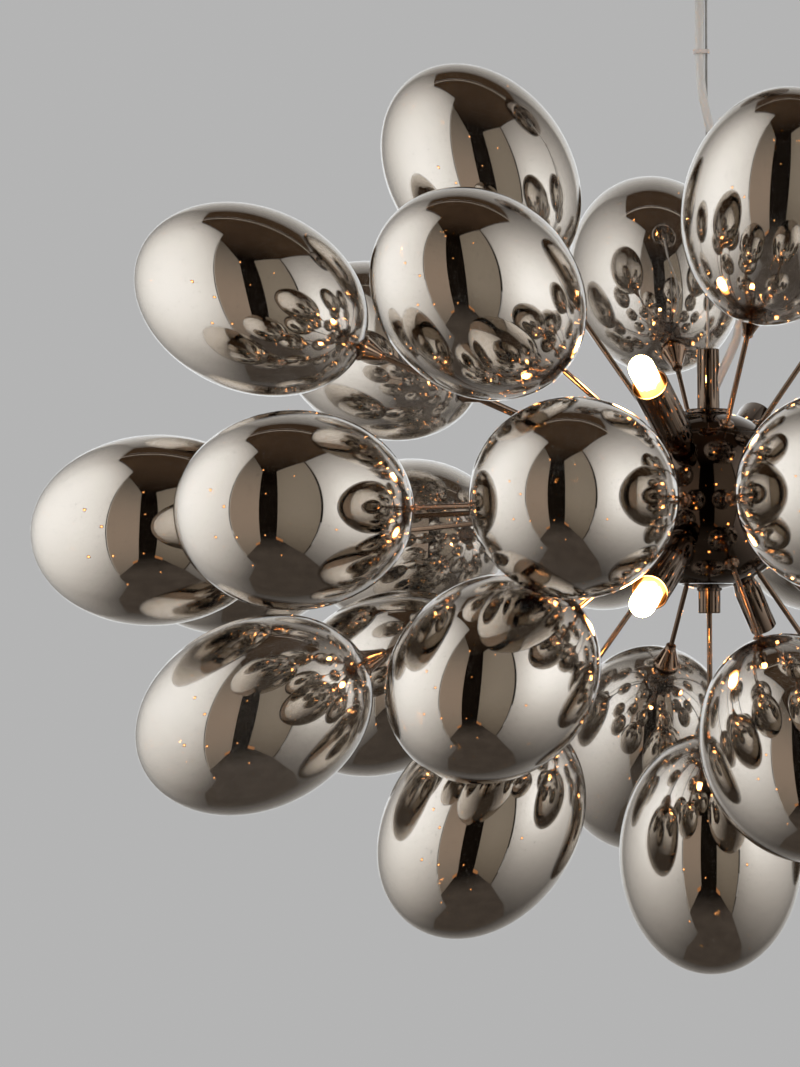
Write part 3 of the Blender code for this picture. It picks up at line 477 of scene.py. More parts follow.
def grainy(name, scale, detail, light, dark, rough, relief=None):
    """A fired or moulded surface with a fine grain in its colour and its relief."""
    mix = Recipe(name)
    grain = mix.speckle(scale, detail)
    normal = mix.bump(grain, relief, 0.1 * MM) if relief else None
    return mix.finish(Base_Color=mix.blend(grain, light, dark), Roughness=rough, Normal=normal)


def clear_plastic(name, colour, rough):
    """Slightly milky clear plastic with a wavy surface."""
    mix = Recipe(name)
    wave = mix.speckle(120.0, 2.0)
    return mix.finish(Base_Color=mix.blend(wave, colour, dimmed(colour, 0.93)), Roughness=rough,
                      IOR=1.46, Transmission_Weight=0.3, Normal=mix.bump(wave, 0.2, 0.2 * MM))


CLEAR_WALL = clear_wall()
MIRROR_WALL = mirror_wall()
BALL_METAL = dark_chrome("black_nickel_ball", (0.115, 0.085, 0.066, 1.0), 0.035)
ROD_METAL = dark_chrome("black_nickel_rod", (0.235, 0.16, 0.112, 1.0), 0.10, 0.02)
CONE_METAL = dark_chrome("black_nickel_cone", (0.31, 0.215, 0.155, 1.0), 0.06)
SLEEVE_METAL = dark_chrome("black_nickel_sleeve", (0.165, 0.12, 0.089, 1.0), 0.045)
ROSE_METAL = dark_chrome("black_nickel_rose", (0.33, 0.29, 0.26, 1.0), 0.06)
ZINC = bare_steel("zinc_plated_steel", (0.60, 0.60, 0.59, 1.0), 0.3)
BRIGHT_STEEL = bare_steel("bright_steel", (0.66, 0.66, 0.65, 1.0), 0.16)
WIRE_STEEL = bare_steel("stranded_steel", (0.46, 0.45, 0.44, 1.0), 0.3)
BULB = bulb_glass()
BULB_CORE = bulb_core()
CERAMIC = grainy("lamp_holder_ceramic", 420.0, 3.0, (0.80, 0.78, 0.73, 1.0),
                 (0.70, 0.68, 0.63, 1.0), 0.5, 0.2)
FLEX_SHEATH = clear_plastic("clear_flex_sheath", (0.97, 0.94, 0.90, 1.0), 0.06)
FLEX_CORE = grainy("flex_core_plastic", 240.0, 2.0, (0.95, 0.90, 0.82, 1.0),
                   (0.88, 0.82, 0.73, 1.0), 0.42)
TIE_PLASTIC = clear_plastic("clear_tie_plastic", (0.93, 0.84, 0.78, 1.0), 0.25)
BLOCK = grainy("terminal_block_plastic", 650.0, 3.0, (0.80, 0.79, 0.74, 1.0),
               (0.72, 0.71, 0.66, 1.0), 0.46, 0.12)


# Glass shades

# The film's cover on the glass: at the neck, over most of a shade from FILM_RISE of its length on,
# and on the shades that have less
FILM_AT_NECK = 0.72
FILM_RISE = 0.42
FILM_DENSE = 0.97
THIN_FILMS = {9: 0.93, 13: 0.96, 15: 0.88, 19: 0.87, 21: 0.95, 23: 0.94, 29: 0.95, 30: 0.93,
              31: 0.96, 32: 0.94}


def build_shades(arms):
    """One blown egg with a thick clear wall and a film inside, copied to the end of each rod."""
    egg = added(bpy.ops.mesh.primitive_uv_sphere_add, "egg", segments=72, ring_count=48,
                radius=SHADE_ACROSS / 2)
    edit(egg)
    everything()
    bpy.ops.transform.resize(value=(1.0, 1.0, SHADE_LONG / SHADE_ACROSS),
                             center_override=(0.0, 0.0, 0.0))
    lowest = -SHADE_LONG / 2
    pick(egg, lambda corner: corner.co.z < lowest + 0.05 * MM)
    bpy.ops.mesh.delete(type="VERT")
    done()
    dress(egg, CLEAR_WALL, MIRROR_WALL)
    finish_modifier(egg, "SOLIDIFY", thickness=GLASS_WALL, offset=-1.0, use_even_offset=True,
                    material_offset=1)
    take(egg)
    smooth(50.0)
    heights = [corner.co.z / SHADE_LONG + 0.5 for corner in egg.data.vertices]
    for number, (way, reach) in enumerate(arms, start=1):
        seat = on_line(way) @ Matrix.Translation((0.0, 0.0, reach))
        shade = copied(egg, f"glass_{number:02d}", seat)
        dense = THIN_FILMS.get(number, FILM_DENSE)
        film = shade.data.attributes.new("film", "FLOAT", "POINT")
        for height, value in zip(heights, film.data):
            rise = min(1.0, max(0.0, height / FILM_RISE))
            value.value = FILM_AT_NECK + (dense - FILM_AT_NECK) * rise * rise * (3 - 2 * rise)
        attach(shade, "pendant")
        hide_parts(f"shade_{number:02d}")
    drop(egg)


# Rods with their cones and nuts


def build_arms(arms):
    """Each rod with its collar, the lipped cone under the glass and the flanged nut inside it."""
    cone = turned("cone", rounded([
        (ROD_RADIUS, -0.1 * MM), (CONE_WIDE - 0.9 * MM, 1.15 * MM), (CONE_WIDE, 0.55 * MM),
        (CONE_WIDE, -0.75 * MM), (CONE_WIDE - 0.7 * MM, -1.15 * MM),
        (CONE_NARROW + 0.1 * MM, -CONE_LENGTH + 2.4 * MM),
        (CONE_NARROW - 0.5 * MM, -CONE_LENGTH + 1.8 * MM),
        (CONE_NARROW, -CONE_LENGTH + 1.3 * MM), (CONE_NARROW, -CONE_LENGTH + 0.4 * MM),
        (CONE_NARROW - 0.5 * MM, -CONE_LENGTH), (ROD_RADIUS, -CONE_LENGTH),
    ], 0.35 * MM, closed=True), 40, closed=True)
    dress(cone, CONE_METAL)
    nut = turned("flanged_nut", rounded([
        (0.0, 10.8 * MM), (1.5 * MM, 10.6 * MM), (2.8 * MM, 9.7 * MM), (ACORN_RADIUS, 8.2 * MM),
        (ACORN_RADIUS, 5.0 * MM), (FLANGE_RADIUS - 0.6 * MM, 4.6 * MM),
        (FLANGE_RADIUS, 4.1 * MM), (FLANGE_RADIUS, 3.3 * MM), (ROD_RADIUS, 3.3 * MM),
    ], 0.4 * MM), 36)
    dress(nut, CONE_METAL)
    for number, (way, reach) in enumerate(arms, start=1):
        line = on_line(way)
        neck = reach - SHADE_LONG / 2
        shaft = [(0.0, neck + 4.0 * MM), (ROD_RADIUS, neck + 4.0 * MM)]
        if way.z < -0.999:
            ring = [(ROD_RADIUS, STUB_BOTTOM - 2.0 * MM), (0.0, STUB_BOTTOM - 2.0 * MM)]
        else:
            ring = [
                (ROD_RADIUS, BALL_RADIUS + 3.1 * MM),
                (ROD_RADIUS + 0.9 * MM, BALL_RADIUS + 2.6 * MM),
                (ROD_RADIUS + 1.2 * MM, BALL_RADIUS + 1.9 * MM),
                (COLLAR_RADIUS - 1.0 * MM, BALL_RADIUS + 1.7 * MM),
                (COLLAR_RADIUS, BALL_RADIUS + 1.1 * MM),
                (COLLAR_RADIUS, BALL_RADIUS - 1.0 * MM), (0.0, BALL_RADIUS - 1.0 * MM),
            ]
        rod = turned(f"rod_{number:02d}", rounded(shaft + ring, 0.35 * MM), 20)
        placed(rod, line)
        dress(rod, ROD_METAL)
        seat = line @ Matrix.Translation((0.0, 0.0, neck))
        for piece in (rod, copied(cone, f"cone_{number:02d}", seat),
                      copied(nut, f"shade_nut_{number:02d}", seat)):
            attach(piece, "pendant")
    drop(cone)
    drop(nut)


# Ball, stem and stub


def build_ball():
    edge = 0.35 * MM
    gap = 0.15 * MM
    wall = 2.5 * MM
    top = CAP_SEAM - gap
    foot = FOOT_SEAM - gap
    outer = bow(BALL_RADIUS, math.asin(top / BALL_RADIUS), -math.asin(foot / BALL_RADIUS), 44)
    inner = bow(BALL_RADIUS - wall, -math.asin(foot / (BALL_RADIUS - wall)),
                math.asin(top / (BALL_RADIUS - wall)), 24)
    shell = turned("ball_shell", rounded(outer + inner, edge, closed=True), 96, closed=True)
    top = CAP_SEAM + gap
    outer = bow(BALL_RADIUS, math.asin(CAP_FLAT / BALL_RADIUS), math.asin(top / BALL_RADIUS), 14)
    flat = outer[0][0]
    cap = turned("ball_top", rounded([(0.0, CAP_FLAT)] + outer + [
        (outer[-1][0] - 3.0 * MM, top), (flat, CAP_FLAT - 3.0 * MM), (0.0, CAP_FLAT - 3.0 * MM),
    ], edge), 96)
    foot = FOOT_SEAM + gap
    neck = STUB_RADIUS + 0.9 * MM
    outer = bow(BALL_RADIUS, -math.asin(foot / BALL_RADIUS), -math.acos(neck / BALL_RADIUS), 8)
    base = turned("ball_foot", rounded([(0.0, -foot)] + outer + [
        (neck, -BALL_RADIUS - 0.5 * MM), (STUB_RADIUS, -BALL_RADIUS - 1.0 * MM),
        (STUB_RADIUS, -STUB_BOTTOM + 0.6 * MM), (STUB_RADIUS - 0.6 * MM, -STUB_BOTTOM),
        (0.0, -STUB_BOTTOM),
    ], 0.3 * MM), 64)
    for piece, node in ((shell, "ball"), (cap, "ball_cap"), (base, "ball_stub")):
        dress(piece, BALL_METAL, SLEEVE_METAL)
        for face in piece.data.polygons:
            face.material_index = 1 if face.center.z < -BALL_RADIUS - 0.8 * MM else 0
        placed(piece, BALL_MIDDLE)
        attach(piece, "pendant")
        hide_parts(node)


def build_stem():
    plate_foot = CAP_FLAT + 0.3 * MM
    plate_top = plate_foot + 2.5 * MM
    plate = turned("stem_collar_plate", rounded([
        (STEM_RADIUS - 1.0 * MM, plate_top), (PLATE_RADIUS - 0.7 * MM, plate_top),
        (PLATE_RADIUS, plate_top - 0.7 * MM), (PLATE_RADIUS, plate_foot),
        (STEM_RADIUS - 1.0 * MM, plate_foot),
    ], 0.4 * MM, closed=True), 64, closed=True)
    stem = turned("stem_tube", rounded([
        (1.1 * MM, STEM_TOP - 1.2 * MM), (STEM_RADIUS - 1.5 * MM, STEM_TOP - 1.2 * MM),
        (STEM_RADIUS - 1.2 * MM, STEM_TOP), (STEM_RADIUS - 0.3 * MM, STEM_TOP),
        (STEM_RADIUS, STEM_TOP - 0.3 * MM), (STEM_RADIUS, plate_top + 0.3 * MM),
        (STEM_RADIUS - 1.7 * MM, plate_top + 0.3 * MM),
        (STEM_RADIUS - 1.7 * MM, STEM_TOP - 3.0 * MM), (1.1 * MM, STEM_TOP - 3.0 * MM),
    ], 0.25 * MM, closed=True), 64, closed=True)
    start = Vector(FLEX_ENTRY[0])
    end = Vector(FLEX_ENTRY[1])
    drill = added(bpy.ops.mesh.primitive_cylinder_add, "drill", vertices=32, radius=3.0 * MM,
                  depth=20 * MM)
    placed(drill, Matrix.Translation(start.lerp(end, 0.35))
           @ (end - start).to_track_quat("Z", "Y").to_matrix().to_4x4())
    finish_modifier(stem, "BOOLEAN", operation="DIFFERENCE", solver="EXACT", object=drill)
    drop(drill)
    take(stem)
    smooth(28.0)
    for piece, node in ((plate, "stem_plate"), (stem, "stem")):
        placed(piece, BALL_MIDDLE)
        dress(piece, BALL_METAL if node == "stem_plate" else SLEEVE_METAL)
        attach(piece, "pendant")
        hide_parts(node)


# Lamps in their sleeves

LAMP_REACH = 120.0 * MM
SLEEVE_RADIUS = 10.75 * MM
SLEEVE_FOOT_RADIUS = 8.5 * MM
LAMPS = [
    # azimuth, elevation, reach, girth and how much of the bulb stands out, the last three shares
    (-21.0, 34.0, 0.917, 1.0, 1.0),
    (-18.0, -27.5, 1.0, 1.0, 1.0),
    (142.0, -55.0, 0.75, 0.74, 0.0),
    (163.0, 29.0, 0.917, 1.0, 0.0),
]


def lamp_line(way, arms, girth_share):
    """Where a sleeve starts, and where it has its full width, between the nearest rods."""
    nearest = min(way.angle(other) for other, _ in arms)
    girth = SLEEVE_RADIUS * girth_share
    base = SLEEVE_FOOT_RADIUS * girth_share
    room = (ROD_RADIUS + 0.6 * MM) / math.cos(nearest)
    start = max(BALL_RADIUS + 4.0 * MM, (base + room) / math.tan(nearest))
    full = max(start + 10.0 * MM * girth_share, (girth + room) / math.tan(nearest))
    return girth, base, start, full


def build_lamps(arms):
    for number, (azimuth, elevation, share, girth_share, out) in enumerate(LAMPS, start=1):
        way = direction(azimuth, elevation)
        line = on_line(way)
        girth, base, start, full = lamp_line(way, arms, girth_share)
        mouth = LAMP_REACH * share
        tip = mouth + 22.0 * MM * out
        wall = 0.9 * MM
        sleeve = turned(f"sleeve_{number}", rounded([
            (girth - wall, mouth), (girth, mouth), (girth, full), (base, start),
            (4.6 * MM, start), (4.6 * MM, start - 1.2 * MM), (4.0 * MM, start - 1.4 * MM),
            (4.0 * MM, BALL_RADIUS - 4.0 * MM), (2.4 * MM, BALL_RADIUS - 4.0 * MM),
            (2.4 * MM, start + 1.4 * MM), (base - wall, start + 1.4 * MM), (girth - wall, full),
        ], 0.35 * MM, closed=True), 56, closed=True)
        placed(sleeve, line)
        dress(sleeve, SLEEVE_METAL)
        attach(sleeve, "pendant")
        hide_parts(f"lamp_sleeve_{number}")

        seat = start + 1.7 * MM
        holder_top = full + 16.0 * MM * girth_share - 10.0 * MM
        cap = 5.2 * MM * girth_share
        recess = holder_top - 5.0 * MM
        holder = turned(f"holder_{number}", rounded([
            (cap + 0.3 * MM, holder_top), (girth - wall - 0.4 * MM, holder_top),
            (girth - wall - 0.4 * MM, full + 0.4 * MM), (base - wall - 0.3 * MM, seat),
            (2.2 * MM, seat), (2.2 * MM, recess), (cap + 0.3 * MM, recess),
        ], 0.4 * MM, closed=True), 40, closed=True)
        placed(holder, line)
        dress(holder, CERAMIC)
        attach(holder, "pendant")
        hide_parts(f"lamp_holder_{number}")

        foot = recess + 0.3 * MM
        bulb = 7.3 * MM * girth_share
        shoulder = min(foot + 8.0 * MM, (foot + tip) / 2)
        dome = [(0.0, tip)]
        for i in range(1, 9):
            angle = math.pi / 2 * (1 - i / 8)
            dome.append((bulb * math.cos(angle), tip - bulb + bulb * math.sin(angle)))
        lamp = turned(f"bulb_{number}", dome + [
            (bulb, shoulder + 2.5 * MM), (bulb * 0.93, shoulder + 1.0 * MM), (cap, shoulder),
            (cap, foot), (0.0, foot),
        ], 40)
        nearness = lamp.data.attributes.new("tip_near", "FLOAT", "POINT")
        for corner, value in zip(lamp.data.vertices, nearness.data):
            value.value = (corner.co.z - foot) / (tip - foot)
        placed(lamp, line)
        dress(lamp, BULB)
        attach(lamp, f"lamp_{number}")
        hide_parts(f"lamp_{number}")

        glow = bulb * 0.6
        top = tip - 2.4 * MM
        low = top - min(16.0 * MM, (top - shoulder) * 0.72)
        core = turned(f"bulb_core_{number}", [
            (0.0, top), (glow * 0.5, top - glow * 0.13), (glow * 0.87, top - glow * 0.5),
            (glow, top - glow), (glow, low + 1.0 * MM), (glow * 0.8, low), (0.0, low),
        ], 28)
        placed(core, line)
        dress(core, BULB_CORE)
        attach(core, f"lamp_{number}")


# Wire, flex, gripper, link, plate and rose

# The flex's way: down from the rose to the tie, out beside the stem, then into its side. The last
# two lists are counted from the middle of the ball.
FLEX_UPPER = mm(
    (-15.6, 0.0, -14.2), (-13.1, 0.0, -16.7), (-10.2, 0.0, -19.8), (-7.2, 0.0, -25.0),
    (-7.0, 0.0, -30.0), (-7.0, 0.0, -36.0), (-7.0, 0.0, -47.0), (-5.4, 0.0, -57.0),
    (-3.9, 0.0, -68.0), (-3.9, 0.0, -82.0))
FLEX_LOWER = mm(
    (-3.9, 0.0, 262.0), (-3.6, -1.3, 250.0), (-2.3, -3.8, 236.0), (1.6, -5.0, 218.0),
    (8.0, -5.4, 196.0), (14.6, -5.4, 170.0), (19.0, -5.0, 142.0), (19.8, -4.2, 118.0),
    (17.8, -2.6, 99.0))
FLEX_ENTRY = mm((13.9, -1.0, 87.0), (2.2, -1.0, 61.5))
FLEX_RADIUS = 2.65 * MM


def smooth_route(points, after, step):
    """Points at even steps along a smooth curve through the given points, bound for one after."""
    knots = [Vector(point) for point in points]
    knots = [2 * knots[0] - knots[1]] + knots + [Vector(after)]
    fine = []
    for before, start, end, beyond in zip(knots, knots[1:], knots[2:], knots[3:]):
        for i in range(24):
            t = i / 24
            fine.append(0.5 * (2 * start + (end - before) * t
                               + (2 * before - 5 * start + 4 * end - beyond) * t ** 2
                               + (3 * start - before - 3 * end + beyond) * t ** 3))
    fine.append(knots[-2])
    lengths = [0.0]
    for first, second in zip(fine, fine[1:]):
        lengths.append(lengths[-1] + (second - first).length)
    count = max(2, round(lengths[-1] / step))
    route = []
    at = 0
    for i in range(count + 1):
        wanted = lengths[-1] * i / count
        while at < len(lengths) - 2 and lengths[at + 1] < wanted:
            at += 1
        part = (wanted - lengths[at]) / (lengths[at + 1] - lengths[at])
        route.append(fine[at].lerp(fine[at + 1], part))
    return route


def flex_route():
    down = Vector((0.0, 0.0, DROP))
    lower = [Vector(point) - down for point in FLEX_LOWER]
    start, end = [Vector(point) - down for point in FLEX_ENTRY]
    route = smooth_route(FLEX_UPPER + lower + [start], end, 2.5 * MM)
    return route + [start.lerp(end, i / 8) for i in range(1, 9)]


def beside(route, offset, turns):
    """A path that winds slowly round another at a small distance."""
    points = []
    count = len(route) - 1
    across = Vector((0.0, 1.0, 0.0))
    for i, spot in enumerate(route):
        ahead = (route[min(i + 1, count)] - route[max(i - 1, 0)]).normalized()
        across = (across - ahead * across.dot(ahead)).normalized()
        angle = math.tau * turns * i / count
        points.append(spot + (across * math.cos(angle)
                              + ahead.cross(across) * math.sin(angle)) * offset)
    return points


def build_flex():
    route = flex_route()
    sheath = tube("flex_sheath", route, FLEX_RADIUS, 5)
    dress(sheath, FLEX_SHEATH)
    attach(sheath, "pendant")
    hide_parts("power_flex")
    for side in (1, -1):
        core = tube(f"flex_core_{1 if side > 0 else 2}", beside(route, side * 1.05 * MM, 1.6),
                    0.82 * MM, 2)
        dress(core, FLEX_CORE)
        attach(core, "pendant")


def build_wire():
    """Six strands laid round a core, with the swaged ferrule under the roof of the stem."""
    ferrule_top = STEM_TOP - 2.8 * MM - DROP
    wire_top = -31.0 * MM
    wire_end = ferrule_top - 6.5 * MM
    length = wire_top - wire_end
    rings = 240
    turns = 22
    corners = 24
    wire = added(bpy.ops.mesh.primitive_circle_add, "steel_wire", (0.0, 0.0, wire_top),
                 vertices=corners, radius=0.56 * MM, fill_type="NGON")
    edit(wire)
    pick(wire, lambda corner: round(math.atan2(corner.co.y, corner.co.x) / math.tau * corners) % 4)
    bpy.ops.transform.resize(value=(1.28, 1.28, 1.0), center_override=(0.0, 0.0, 0.0))
    everything()
    for _ in range(rings):
        bpy.ops.mesh.extrude_region_move(
            TRANSFORM_OT_translate={"value": (0.0, 0.0, -length / rings)})
        bpy.ops.transform.rotate(value=math.tau * turns / rings, orient_axis="Z",
                                 center_override=(0.0, 0.0, 0.0))
    everything()
    bpy.ops.mesh.remove_doubles(threshold=0.001 * MM)
    bpy.ops.mesh.normals_make_consistent(inside=False)
    done()
    smooth(35.0)
    dress(wire, WIRE_STEEL)
    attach(wire, "pendant")
    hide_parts("hanging_wire")
    ferrule = turned("wire_ferrule", rounded([
        (0.8 * MM, ferrule_top), (2.5 * MM, ferrule_top), (2.5 * MM, ferrule_top - 5.0 * MM),
        (0.8 * MM, ferrule_top - 5.0 * MM),
    ], 0.4 * MM, closed=True), 32, closed=True)
    dress(ferrule, BRIGHT_STEEL)
    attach(ferrule, "pendant")


def build_gripper():
    """The wire gripper with its groove, its narrow tip and its eye."""
    body_top = -23.75 * MM
    body_foot = body_top - 22.0 * MM
    tip_foot = body_foot - 5.0 * MM
    gripper = turned("gripper_body", rounded([
        (0.0, body_top), (3.4 * MM, body_top), (4.0 * MM, body_top - 0.6 * MM),
        (4.0 * MM, body_top - 8.0 * MM), (3.7 * MM, body_top - 8.3 * MM),
        (3.7 * MM, body_top - 8.8 * MM), (4.0 * MM, body_top - 9.1 * MM),
        (4.0 * MM, body_foot + 0.6 * MM), (3.4 * MM, body_foot), (2.4 * MM, body_foot),
        (2.4 * MM, tip_foot + 0.5 * MM), (2.0 * MM, tip_foot), (0.0, tip_foot),
    ], 0.25 * MM), 40)
    eye = 3.6 * MM
    ring = tube("gripper_eye", [
        (eye * math.cos(math.tau * i / 32), 0.0,
         body_top + 3.0 * MM + eye * math.sin(math.tau * i / 32)) for i in range(32)
    ], 1.2 * MM, 4, True)
    for piece in (gripper, ring):
        dress(piece, BRIGHT_STEEL)
        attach(piece, "pendant")
    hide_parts("wire_gripper")


# Middle of the rose's screws under the ceiling, and of the bend between its wall and its foot
SCREW_DROP = 10.6 * MM
FOOT_BEND = (44.0 * MM, -30.0 * MM)


def build_rose():
    """The spun cover with a rolled hole in its foot and two knurled side screws."""
    across, height = FOOT_BEND
    outer = [(across + x, z) for x, z in bow(6.0 * MM, 0.0, -math.pi / 2, 8, height)]
    inner = [(across + x, z) for x, z in bow(4.8 * MM, -math.pi / 2, 0.0, 8, height)]
    foot = mm((13.6, -36.0), (12.5, -35.4), (12.5, -34.2), (13.7, -34.2), (14.2, -34.8))
    shell = turned("rose_shell", rounded(
        mm((50.0, -0.3)) + outer + foot + inner + mm((48.8, -0.3)), 0.35 * MM, 2, True),
        96, closed=True)
    dress(shell, ROSE_METAL)
    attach(shell, "rose")
    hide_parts("rose_cover")
    screw = turned("rose_screw", rounded(mm(
        (0.0, 38.0), (2.0, 38.0), (2.0, 49.4), (3.6, 49.4),
        (3.6, 52.0), (2.3, 52.2), (2.0, 51.6), (0.0, 51.6)), 0.3 * MM, 2), 48)
    edit(screw)
    pick(screw, lambda corner: corner.co.xy.length > 3.45 * MM
         and round(math.atan2(corner.co.y, corner.co.x) / math.tau * 48) % 2)
    bpy.ops.transform.resize(value=(0.94, 0.94, 1.0), center_override=(0.0, 0.0, 0.0))
    done()
    dress(screw, ROSE_METAL)
    for turn, label in ((0.25, "front"), (-0.25, "back")):
        twin = copied(screw, "rose_screw_" + label, Matrix.Translation((0.0, 0.0, -SCREW_DROP))
                      @ Matrix.Rotation(math.tau * turn, 4, "X"))
        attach(twin, "rose")
    drop(screw)


def slotted_tab(name, away):
    """A tab folded down from the plate, with a slot for the rose's screw that is open below."""
    top = -1.0 * MM
    bridge = -8.3 * MM
    slot = 2.3 * MM
    tab = box_to_work(name, (0.0, away, (bridge + top) / 2), (12.0 * MM, 1.6 * MM, top - bridge))
    for x in (-slot, slot):
        everything()
        bpy.ops.mesh.bisect(plane_co=(x, 0.0, 0.0), plane_no=(1.0, 0.0, 0.0))
    pick(tab, lambda face: face.normal.z < -0.9
         and abs(face.calc_center_median().x) > slot, "faces")
    bpy.ops.mesh.extrude_region_move(TRANSFORM_OT_translate={"value": (0.0, 0.0, -9.7 * MM)})
    everything()
    bpy.ops.mesh.normals_make_consistent(inside=False)
    done()
    finish_modifier(tab, "BEVEL", width=0.35 * MM, segments=2)
    smooth(35.0)
    return tab


def build_fixing():
    """The pressed plate with its ring, eye, tabs and pan-head screws, and the hook link."""
    plate = turned("plate_disc", rounded(mm(
        (0.0, 0.0), (44.0, 0.0), (44.0, -2.0), (38.4, -2.0),
        (37.6, -1.4), (35.2, -1.4), (34.4, -2.0), (0.0, -2.0)), 0.4 * MM, 2), 96)
    staple = [(-5.0 * MM, 0.0, -1.0 * MM)]
    staple += [(x, 0.0, z) for x, z in bow(5.0 * MM, math.pi, math.tau, 20, -5.0 * MM)]
    staple += [(5.0 * MM, 0.0, -1.0 * MM)]
    eye = tube("plate_eye", staple, 1.25 * MM, 4)
    screw = turned("plate_screw", rounded(mm(
        (0.0, -1.0), (4.0, -1.0), (4.0, -3.2), (2.6, -4.4), (1.7, -4.4), (1.4, -3.4),
        (0.0, -3.4)), 0.4 * MM, 2), 36)
    corner = 19.8 * MM
    away = 42.52 * MM
    pieces = [plate, eye, slotted_tab("plate_tab_back", away),
              slotted_tab("plate_tab_front", -away)]
    pieces += [copied(screw, f"plate_screw_{number}",
                      Matrix.Translation((side * corner, side * corner, 0.0)))
               for number, side in ((1, 1), (2, -1))]
    drop(screw)
    for piece in pieces:
        dress(piece, ZINC)
        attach(piece, "fixing")
    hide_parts("ceiling_plate")

    low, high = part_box("hook_link")
    middle = (Vector(low) + Vector(high)) / 2
    bend = 4.2 * MM
    oval = [(0.0, middle.y + y, middle.z + 2.0 * MM + z)
            for y, z in bow(bend, 0.0, math.pi, 16)]
    oval += [(0.0, middle.y + y, middle.z - 2.0 * MM + z)
             for y, z in bow(bend, math.pi, math.tau, 16)]
    link = tube("steel_link", oval, 1.1 * MM, 4, True)
    dress(link, ZINC)
    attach(link, "link")
    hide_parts("hook_link")


def build_block():
    """The terminal block with its rounded edges, raised cap, wire mouths and clamp screws."""
    middle, size = mm((-27.0, 0.0, -7.8), (14.0, 24.0, 11.0))
    block = box_to_work("block_body", middle, size)
    pick(block, lambda face: face.normal.z < -0.9, "faces")
    bpy.ops.mesh.inset(thickness=1.6 * MM)
    bpy.ops.transform.translate(value=(0.0, 0.0, -0.8 * MM))
    pick(block, lambda face: face.normal.x > 0.9, "faces")
    bpy.ops.mesh.inset(thickness=1.8 * MM)
    bpy.ops.mesh.extrude_region_move(TRANSFORM_OT_translate={"value": (-1.6 * MM, 0.0, 0.0)})
    done()
    finish_modifier(block, "BEVEL", width=0.5 * MM, segments=3)
    smooth(35.0)
    dress(block, BLOCK)
    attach(block, "fixing")
    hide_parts("terminal_block")
    mouth = turned("wire_mouth", rounded(mm(
        (2.0, -6.0), (3.2, -6.0), (3.2, 0.0), (2.0, 0.0)), 0.3 * MM, 2, True), 32, closed=True)
    clamp = turned("clamp_screw", rounded(mm(
        (0.0, 2.0), (2.2, 2.0), (2.2, -0.4), (1.0, -0.6), (0.8, 0.1), (0.0, 0.1)),
        0.25 * MM, 2), 28)
    mouth_end = middle[0] + size[0] / 2 - 0.2 * MM
    clamp_foot = middle[2] - size[2] / 2 - 0.6 * MM
    for number, y in ((1, -5.0 * MM), (2, 5.0 * MM)):
        ring = copied(mouth, f"wire_mouth_{number}", Matrix.Translation((mouth_end, y, middle[2]))
                      @ Matrix.Rotation(math.pi / 2, 4, "Y"))
        dress(ring, BLOCK)
        head = copied(clamp, f"clamp_screw_{number}",
                      Matrix.Translation((middle[0], y, clamp_foot)))
        dress(head, ZINC)
        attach(ring, "fixing")
        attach(head, "fixing")
    drop(mouth)
    drop(clamp)


def finish_nodes():
    """Better finishes on the solids whose shape is right."""
    finishes = {"flex_strap": ZINC, "cord_tie": TIE_PLASTIC, "stem_nut": ZINC}
    for name, finish in finishes.items():
        dress(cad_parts[name], finish)


# Studio


WHITE_CARD = [
    (0.0, (1.0, 0.94, 0.88, 1.0)), (0.35, (1.0, 0.985, 0.955, 1.0)), (0.65, (0.99, 1.0, 0.99, 1.0)),
    (1.0, (0.95, 0.98, 1.0, 1.0)),
]
LEFT_GREY_CARD = [(0.0, (1.0, 0.92, 0.78, 1.0)), (1.0, (1.0, 0.80, 0.64, 1.0))]
RIGHT_GREY_CARD = [(0.0, (1.0, 0.82, 0.62, 1.0)), (1.0, (1.0, 0.88, 0.72, 1.0))]


def board_light(name, middle, reach, bright, rest, stops=WHITE_CARD):
    """Light that is strongest at one place (y, z) of a board and falls off round it.

    The reach is how far off it has halved, to the near side, the far side, upwards and downwards.
    """
    mix = Recipe(name)
    _, away, up = mix.axes()
    away = away - middle[0]
    up = up - (middle[1] - DROP)
    near, far, over, under = reach
    away = mix.calculate("MAXIMUM", away * (1 / far), away * (-1 / near))
    up = mix.calculate("MAXIMUM", up * (1 / over), up * (-1 / under))
    level = mix.calculate("DIVIDE", 1.0, away * away + up * up + 1.0)
    colour = mix.node("ShaderNodeValToRGB", {"stops": stops}, level)
    return mix.shine(colour, level * bright + rest)


def deep_light(name, colour, ends, levels):
    """Light of a floor or ceiling that fades from one place (y) to another."""
    mix = Recipe(name)
    _, away, _ = mix.axes()
    level = mix.grade(away, *ends, *levels)
    cloud = mix.grade(mix.speckle(2.2, 3.0), 0.25, 0.75, 0.78, 1.15)
    return mix.shine(colour, level * cloud)


def plain_light(name, colour, low, high):
    """Light with a faint cloudiness."""
    mix = Recipe(name)
    level = mix.grade(mix.speckle(1.6, 2.0), 0.25, 0.75, low, high)
    return mix.shine(colour, level)


def spark_light():
    """A small bright warm light, white-hot in the middle of its card."""
    mix = Recipe("small_warm_light")
    spot = mix.node("ShaderNodeTexCoord", out="UV")
    away = mix.node("ShaderNodeVectorMath", {"operation": "DISTANCE"}, spot, (0.5, 0.5, 0.0), out=1)
    colour = mix.node("ShaderNodeValToRGB", {"stops": [
        (0.0, (1.0, 0.62, 0.30, 1.0)), (0.22, (0.8, 0.34, 0.10, 1.0)),
        (0.4, (0.10, 0.03, 0.006, 1.0)), (0.5, (0.0, 0.0, 0.0, 1.0)),
    ]}, away)
    return mix.shine(colour, 7.0)


